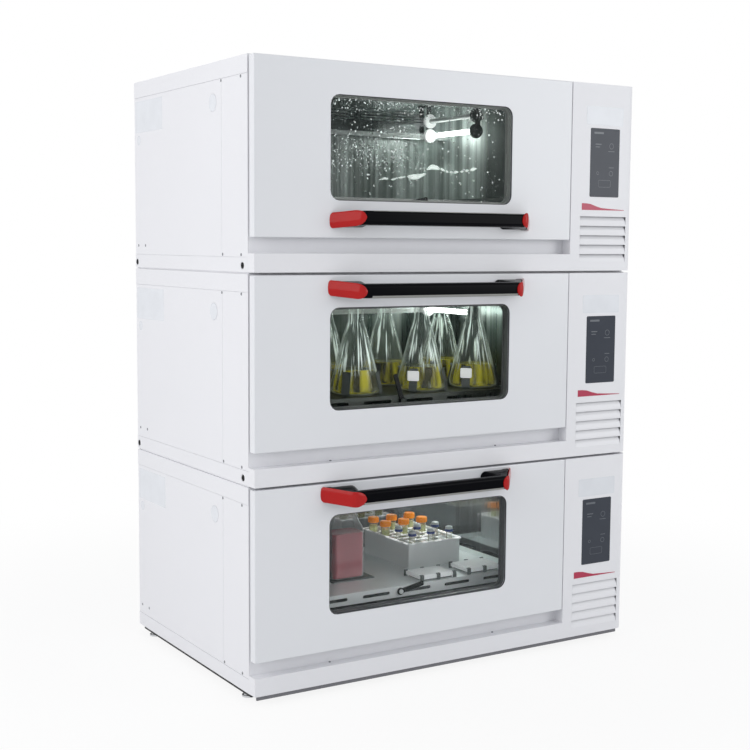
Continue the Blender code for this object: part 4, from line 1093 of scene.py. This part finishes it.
for deck in decks:
    paint(streakedSteel[deck], f"{deck}_chamber_liner")
    paint(sealRubber, f"{deck}_door_seal")
    paint(castGrey, f"{deck}_drive_motor", f"{deck}_drive_crank", f"{deck}_circulation_fan")
    dressed(deck, "air_duct", ductSteel, 0.5, "satin_steel")
    makeLedge(deck)
    dressed(deck, "shaker_tray", traySteel[deck], 0.7, "satin_steel", "tray")
    dressed(deck, "tray_lever", blackSteel, 0.8, "black_steel", "lever")
    makeLamp(deck)
print("chambers, ducts, lamps and trays made")


# Edge of the water film on the walls of the top chamber, bright with a painted highlight: runs of (place,
# height, half width)
film = {
    "back": 589.6,
    "side": 1024.6,
    "lift": 0.35,
    "backRuns": (
        ((778, 296, 0.6), (788, 298, 2.2), (799, 301, 3.8), (808, 300, 3.0), (816, 299, 0.6)),
        ((826, 298, 0.6), (832, 298, 2.8), (842, 300, 2.4), (848, 301, 0.6)),
        ((856, 304, 0.6), (862, 305, 3.0), (874, 307, 2.2), (884, 309, 0.6)),
        ((890, 310, 1.0), (898, 309, 5.5), (910, 309, 8.0), (925, 310, 9.0), (940, 312, 7.0), (958, 319, 4.0),
         (968, 321, 0.8)),
        ((972, 335, 1.0), (978, 341, 6.0), (990, 345, 8.5), (1005, 345, 8.0), (1016, 342, 5.0),
         (1023, 340, 2.0)),
    ),
    "sideRuns": (
        ((585, 340, 2.0), (576, 337, 4.5), (566, 334, 3.0), (560, 332, 0.6)),
        ((555, 331, 0.6), (549, 329, 4.4), (543, 328, 3.6), (538, 327, 0.6)),
        ((532, 326, 0.6), (522, 325, 4.2), (514, 324, 0.8)),
        ((508, 324, 0.8), (498, 325, 4.4), (486, 324, 3.0), (478, 325, 0.6)),
        ((470, 325, 0.6), (460, 325, 3.8), (449, 326, 0.8)),
        ((443, 326, 0.6), (432, 327, 4.4), (420, 328, 0.8)),
        ((412, 328, 0.6), (402, 329, 5.0), (388, 331, 4.4), (376, 331, 0.8)),
    ),
}


def makeFilm():
    bm = bmesh.new()
    for wall in ("back", "side"):
        for run in film[f"{wall}Runs"]:
            rows = []
            for place, height, half in run:
                row = []
                for angle in ringAngles(10):
                    off = film[wall] - half * film["lift"] * (1 + math.cos(angle)) / 2
                    z = height + half * math.sin(angle)
                    row.append((place, off, z) if wall == "back" else (off, place, z))
                rows.append(row)
            rings(bm, rows)
    piece("film_edge", "top", bm, filmEdgeHighlight, slot="glass", angle=60)


makeFilm()
print("water film made")


# Flasks in spring clamps on the middle tray

flask = {
    "places": (
        (233, 190), (451, 190), (688, 190), (885, 190), (240, 385), (458, 385), (676, 385), (894, 385),
    ),
    "base": 218.2,
    "clampBase": 215.1,
    "outer": (
        (0, 1.5), (56, 1.0), (66, 0.4), (72.5, 3.5), (75.5, 10), (75.5, 18), (73, 34), (56, 102), (37, 175),
        (27.5, 203), (24, 218), (23.5, 232), (23.5, 262), (25, 267), (28.5, 271), (29.5, 275), (28, 278.5),
        (24.5, 279.5),
    ),
    "wall": 2.2,
    "level": 72,
    "fingerAngles": (38, 128, 218, 308),
    "fingerWidth": 26,
    "fingerTop": 66,
    "tabs": (2, 3),
}


def flaskRadius(height):
    outer = flask["outer"][4:]
    for (r0, h0), (r1, h1) in zip(outer, outer[1:]):
        if h0 <= height <= h1:
            return r0 + (r1 - r0) * (height - h0) / (h1 - h0)
    return outer[0][0]


def makeFlask(number, x, y):
    place, wall, level = (x, y, flask["base"]), flask["wall"], flask["level"]
    outer = list(flask["outer"])
    inner = [(max(r - wall, 0), h + (wall if h < 4 else 0)) for r, h in outer]
    glass, fluid = bmesh.new(), bmesh.new()
    turned(glass, outer + inner[::-1], place, up, 56)
    piece(f"flask_{number}", "middle", glass, flaskGlass, "tray", "glass", angle=60)
    gap = wall + 0.3
    below = [(r - gap, max(h, 0) + gap * 0.8) for r, h in outer if r > 54 and h < level]
    top = flaskRadius(level) - gap
    profile = [(0, below[0][1])] + below + [(top + 0.4, level - 1), (top - 1.2, level), (0, level)]
    turned(fluid, profile, place, up, 56)
    piece(f"medium_{number}", "middle", fluid, yellowMedium, "tray", "glass", angle=50)


def makeClamp(number, x, y):
    place = (x, y, flask["clampBase"])
    clamp, tabs = bmesh.new(), bmesh.new()
    turned(clamp, [(0, 0), (66, 0), (68, 0.8), (68, 2.2), (66, 2.9), (0, 2.9)], place, up, 40)
    half, height = flask["fingerWidth"] / 2, flask["fingerTop"]
    tip = flaskRadius(height)
    inner = [(56, 0.4), (77.5, 0.4), (79.5, 3), (80.5, 12), (tip + 3.4, height), (tip + 7.5, height + 5)]
    outer = [(r + 1.6, h + (0.2 if h > 1 else 1.6)) for r, h in inner]
    for degrees in flask["fingerAngles"]:
        turn = Matrix.Translation(place) @ Matrix.Rotation(math.radians(degrees + 180), 4, "Z")
        part = bmesh.new()
        prism(part, inner + outer[::-1], -half, half)
        soften(part, 0.4, 1)
        part.transform(turn)
        absorb(clamp, part)
        if degrees == flask["fingerAngles"][0] and number in flask["tabs"]:
            r = flaskRadius(50) + 5.5
            tab = bmesh.new()
            softPrism(tab, roundedOutline(-18, 34, 18, 64, 3, 3), r + 1.0, r + 3.4, 0.6, "X")
            tab.transform(turn)
            absorb(tabs, tab)
    piece(f"flask_clamp_{number}", "middle", clamp, clipGrey, "tray", "black_steel")
    if tabs.verts:
        piece(f"flask_tab_{number}", "middle", tabs, tabWhite, "tray", "white_paint")


for number, (x, y) in enumerate(flask["places"]):
    makeFlask(number, x, y)
    makeClamp(number, x, y)
print("flasks and clamps made")


# Rack with tubes, bottle and plate clamps on the bottom tray

rack = {
    "columns": (705, 776, 847),
    "rows": (257, 337, 417, 492),
    "top": 296.3,
    "wire": 1.6,
    "rim": 2.8,
    "wireGap": 18.2,
    "plateInset": 7.8,
    "tubeBase": 222,
    "capBase": 321,
    "collarBase": 319,
    "stopperBase": 327.4,
    "tallRadius": 14.5,
    "smallRadius": 9.5,
}


def tallTube(tubes, caps, fluids, x, y):
    r, place = rack["tallRadius"], (x, y, rack["tubeBase"])
    profile = [(0, 0), (4, 0.3), (r - 0.5, 14), (r, 17), (r, 99), (r + 1.2, 100), (r + 1.2, 103)]
    turned(tubes, profile, place, up, 28)
    profile = [(0, 1.5), (4, 2), (r - 1.6, 15), (r - 1.2, 18), (r - 1.2, 90), (0, 90)]
    turned(fluids, profile, place, up, 28)
    skirt = [(r + 1.3, 0), (r + 3.4, 0.8), (r + 3.4, 15.5), (r + 2.4, 17.6)]
    turned(caps, skirt + [(r - 2, 18.4), (r - 3, 17.4), (0, 17.4)], (x, y, rack["capBase"]), up, 28)
    ribs(caps, x, y, r + 3.3, rack["capBase"] + 1.5, 12.5, 0.75, 24)


def smallTube(tubes, caps, tops, x, y):
    r = rack["smallRadius"]
    profile = [(0, 0), (3, 0.3), (r - 0.4, 10), (r, 13), (r, 95), (r + 1, 96), (r + 1, 101)]
    turned(tubes, profile, (x, y, rack["tubeBase"]), up, 24)
    collar = [(r + 1.1, 0), (r + 3.6, 0.6), (r + 3.6, 8), (r + 1.1, 8.6)]
    turned(caps, collar, (x, y, rack["collarBase"]), up, 24)
    stopper = [(r + 1.0, 0), (r + 2.6, 0.8), (r + 2.4, 7), (r - 0.4, 9), (0, 9)]
    turned(tops, stopper, (x, y, rack["stopperBase"]), up, 24)


def makeRack():
    deck, body = "bottom", "tray"
    dressed(deck, "tube_rack", rackSteel, 0.5, "satin_steel", body)
    low, high = deckBox(deck, "tube_rack")
    wires, rim, plate, holes = bmesh.new(), bmesh.new(), bmesh.new(), bmesh.new()
    top, r, wire, gap = rack["top"], rack["rim"], rack["wire"], rack["wireGap"]
    columns, rows = rack["columns"], rack["rows"]
    outline = roundedOutline(low.x + r, low.y + r, high.x - r, high.y - r, 8, 5)
    loop(rim, [(x, y, top + r - 2.2) for x, y in outline], r, 12)
    piece("rack_rim", deck, rim, wireSteel, body, "satin_steel")
    inset = Vector((rack["plateInset"], rack["plateInset"], 0))
    block(plate, Vector((*low.xy, top - 8)) + inset, Vector((*high.xy, top - 6.6)) - inset, 0)
    for x in columns:
        for y in rows:
            r = rack["tallRadius"] + 2.5 if y in rows[2:] else rack["smallRadius"] + 2
            turned(holes, [(r, top - 12), (r, top - 2)], (x, y, 0), up, 24)
    between = [(a + b) / 2 for a, b in zip(rows, rows[1:])]
    for x in ((a + b) / 2 for a, b in zip(columns, columns[1:])):
        for y in [low.y + 26] + between:
            block(holes, (x - 24, y - 6, top - 12), (x + 24, y + 6, top - 2), 0)
    piece("rack_plate", deck, carved(plate, holes), gridSteel, body, "satin_steel", angle=20)
    for x in (x + side for x in columns for side in (-gap, gap)):
        rod(wires, (x, low.y + 7, top - 4), (x, high.y - 7, top - 4), wire, 8)
    for y in (y + side for y in rows for side in (-gap, gap) if low.y + 9 < y + side < high.y - 9):
        rod(wires, (low.x + 7, y, top - 6.6), (high.x - 7, y, top - 6.6), wire, 8)
    piece("rack_grid", deck, wires, wireSteel, body, "satin_steel")
    tubes, orange, fluids, small, blue, frosted = (bmesh.new() for _ in range(6))
    for x in columns:
        for y in rows[:2]:
            smallTube(small, blue, frosted, x, y)
        for y in rows[2:]:
            tallTube(tubes, orange, fluids, x, y)
    for label, bm, finish, slot in (
        ("culture_tubes", tubes, tubePlastic, "glass"),
        ("culture_caps", orange, orangeCap, "handle_red"),
        ("culture_fluid", fluids, paleMedium, "glass"),
        ("sample_tubes", small, tubePlastic, "glass"),
        ("sample_collars", blue, blueCap, "panel_glass"),
        ("sample_caps", frosted, clearCap, "lamp_white"),
    ):
        piece(label, deck, bm, finish, body, slot, angle=45)


trayTop = 215.2
bottle = {"low": (398, 222), "high": (509, 300), "base": 220.5, "height": 152, "shoulder": 200, "fill": 141}


def squareRows(low, high, levels, radius):
    # Rows of rounded squares: (height, inset)
    rows = []
    for z, inset in levels:
        r = max(radius - inset * 0.3, 4)
        outline = roundedOutline(low[0] + inset, low[1] + inset, high[0] - inset, high[1] - inset, r, 6)
        rows.append([(x, y, z) for x, y in outline])
    return rows


def makeBottle():
    deck, body = "bottom", "tray"
    low, high, base = bottle["low"], bottle["high"], bottle["base"]
    h, s = base + bottle["height"], base + bottle["shoulder"]
    foot = [(base, 6), (base + 1, 2.5), (base + 4, 0.6), (base + 8, 0)]
    shoulder = [(h - 4, 0), (h, 0.8), (h + 8, 4), (s - 6, 19), (s, 22)]
    shell = bmesh.new()
    rings(shell, squareRows(low, high, foot + shoulder, 16))
    piece("bottle", deck, shell, bottlePlastic, body, "glass", angle=50)
    top = base + bottle["fill"]
    fluid = bmesh.new()
    levels = [(base + 1.5, 7), (base + 3, 3.5), (base + 8, 1.2), (top - 1, 1.2), (top, 2.4)]
    rings(fluid, squareRows(low, high, levels, 15))
    piece("bottle_medium", deck, fluid, pinkMedium, body, "handle_red", angle=50)
    x, y = (low[0] + high[0]) / 2, (low[1] + high[1]) / 2
    neck = [(21, -2), (19, 2), (18, 8), (18, 16)]
    lathe("bottle_neck", deck, neck, [(x, y, s - 1)], bottlePlastic, "glass", body=body)
    cap = bmesh.new()
    turned(cap, [(18.5, 0), (22, 0.8), (22, 19), (20.5, 21), (0, 21)], (x, y, s + 10))
    ribs(cap, x, y, 21.9, s + 12, 15, 0.8, 30)
    piece("bottle_cap", deck, cap, orangeCap, body, "handle_red")
    clip = bmesh.new()
    block(clip, (low[0] - 8, low[1] - 8, trayTop), (high[0] + 30, high[1] + 8, 218.4), 1.0)
    for cx in (low[0] - 6, high[0] + 2):
        block(clip, (cx, low[1] + 20, trayTop + 0.2), (cx + 4, high[1] - 20, 240), 1.2)
    piece("bottle_clip", deck, clip, clipGrey, body, "black_steel")


plateClamp = {"places": ((633, 92, 760, 186), (812, 96, 940, 200)), "low": 221, "high": 233.5}


def makePlateClamps():
    deck, body = "bottom", "tray"
    plates, clips = bmesh.new(), bmesh.new()
    for left, near, farRight, far in plateClamp["places"]:
        low, high = plateClamp["low"], plateClamp["high"]
        softPrism(plates, roundedOutline(left, near + 4, farRight, far, 6, 4), low, high - 3, 1.0, "Z")
        outline = roundedOutline(left + 4, near + 8, farRight - 4, far - 4, 4, 4)
        softPrism(plates, outline, high - 3.2, high, 1.2, "Z")
        block(clips, (left + 8, near + 10, trayTop), (farRight - 8, far - 8, low + 0.2), 1.0)
        for cx in (left + 3, (left + farRight) / 2, farRight - 3):
            for cy, lean in ((near + 3, -1), (far + 1, 1)):
                block(clips, (cx - 6, cy - 2.4, trayTop + 0.2), (cx + 6, cy + 2.4, high + 1.5), 1.0)
                block(clips, (cx - 6, cy - 2.4, high - 0.5), (cx + 6, cy + 2.4 - lean * 5, high + 2.0), 0.8)
    piece("plate_pads", deck, plates, padWhite, body, "white_paint")
    piece("plate_clips", deck, clips, clipGrey, body, "black_steel")


makeRack()
makeBottle()
makePlateClamps()
print("rack, tubes, bottle and plate clamps made")


# Base frame and feet
paint(blackSteel, "base_frame")
for corner in ("front_left", "front_right", "rear_left", "rear_right"):
    paint(footSteel, f"levelling_foot_{corner}")
print("base finished")


# Floor, world and lights
stage = {
    "size": 40,
    "pale": (0.90, 0.90, 0.90),
    "shadow": 0.12,
    "near": 0.9,
    "far": 2.6,
    "world": 0.62,
    "lamps": (
        ("left", (-4.2, -1.0, 2.4), (-0.6, 0.0, 0.9), 3.2, 70, (1.0, 0.99, 0.99)),
        ("rightFront", (3.6, -4.0, 2.2), (0.4, -0.3, 0.9), 2.6, 60, (0.99, 1.0, 1.0)),
    ),
}


def makeFloor():
    # White to the camera, with a soft shadow near the cabinet
    finish = Finish("floor", stage["pale"], Roughness=0.9)
    place = finish.node("TexCoord", output="Object")
    distance = finish.node("VectorMath", {"operation": "LENGTH"}, {0: place}, "Value")
    away = finish.node(
        "MapRange", {"interpolation_type": "SMOOTHSTEP"},
        {"Value": distance, "From Min": stage["near"], "From Max": stage["far"]},
    )
    level = (1 - stage["shadow"]) + away * stage["shadow"]
    white = finish.node("Emission", None, {"Color": (1, 1, 1, 1), "Strength": 1.0})
    share = finish.node("Clamp", None, {"Value": finish.seen() * level})
    finish.mixInto(share, Value(finish, finish.surface.outputs[0]), white)
    bm = bmesh.new()
    bmesh.ops.create_grid(bm, x_segments=1, y_segments=1, size=stage["size"] / 2)
    floor = placed("floor", meshOf("floor", bm))
    floor.data.materials.append(finish.material)


def makeWorld():
    world = bpy.data.worlds.new("studio")
    scene.world = world
    world.use_nodes = True
    sky = Tree(world.node_tree, "ShaderNodeOutputWorld")
    light = sky.node("Background", None, {"Color": (0.96, 0.98, 1.0, 1), "Strength": stage["world"]})
    white = sky.node("Background", None, {"Color": (1, 1, 1, 1), "Strength": 1.0})
    sky.mixInto(sky.seen(), light, white)


def makeLights():
    for name, place, target, size, power, colour in stage["lamps"]:
        data = bpy.data.lights.new(name, "AREA")
        data.shape = "SQUARE"
        data.size = size
        data.energy = power
        data.color = colour
        light = placed(name, data)
        light.location = place
        light.rotation_euler = (Vector(target) - Vector(place)).to_track_quat("-Z", "Y").to_euler()


makeFloor()
makeWorld()
makeLights()
scene.view_settings.view_transform = "Standard"
scene.cycles.transparent_max_bounces = 32
print("floor and lights made")
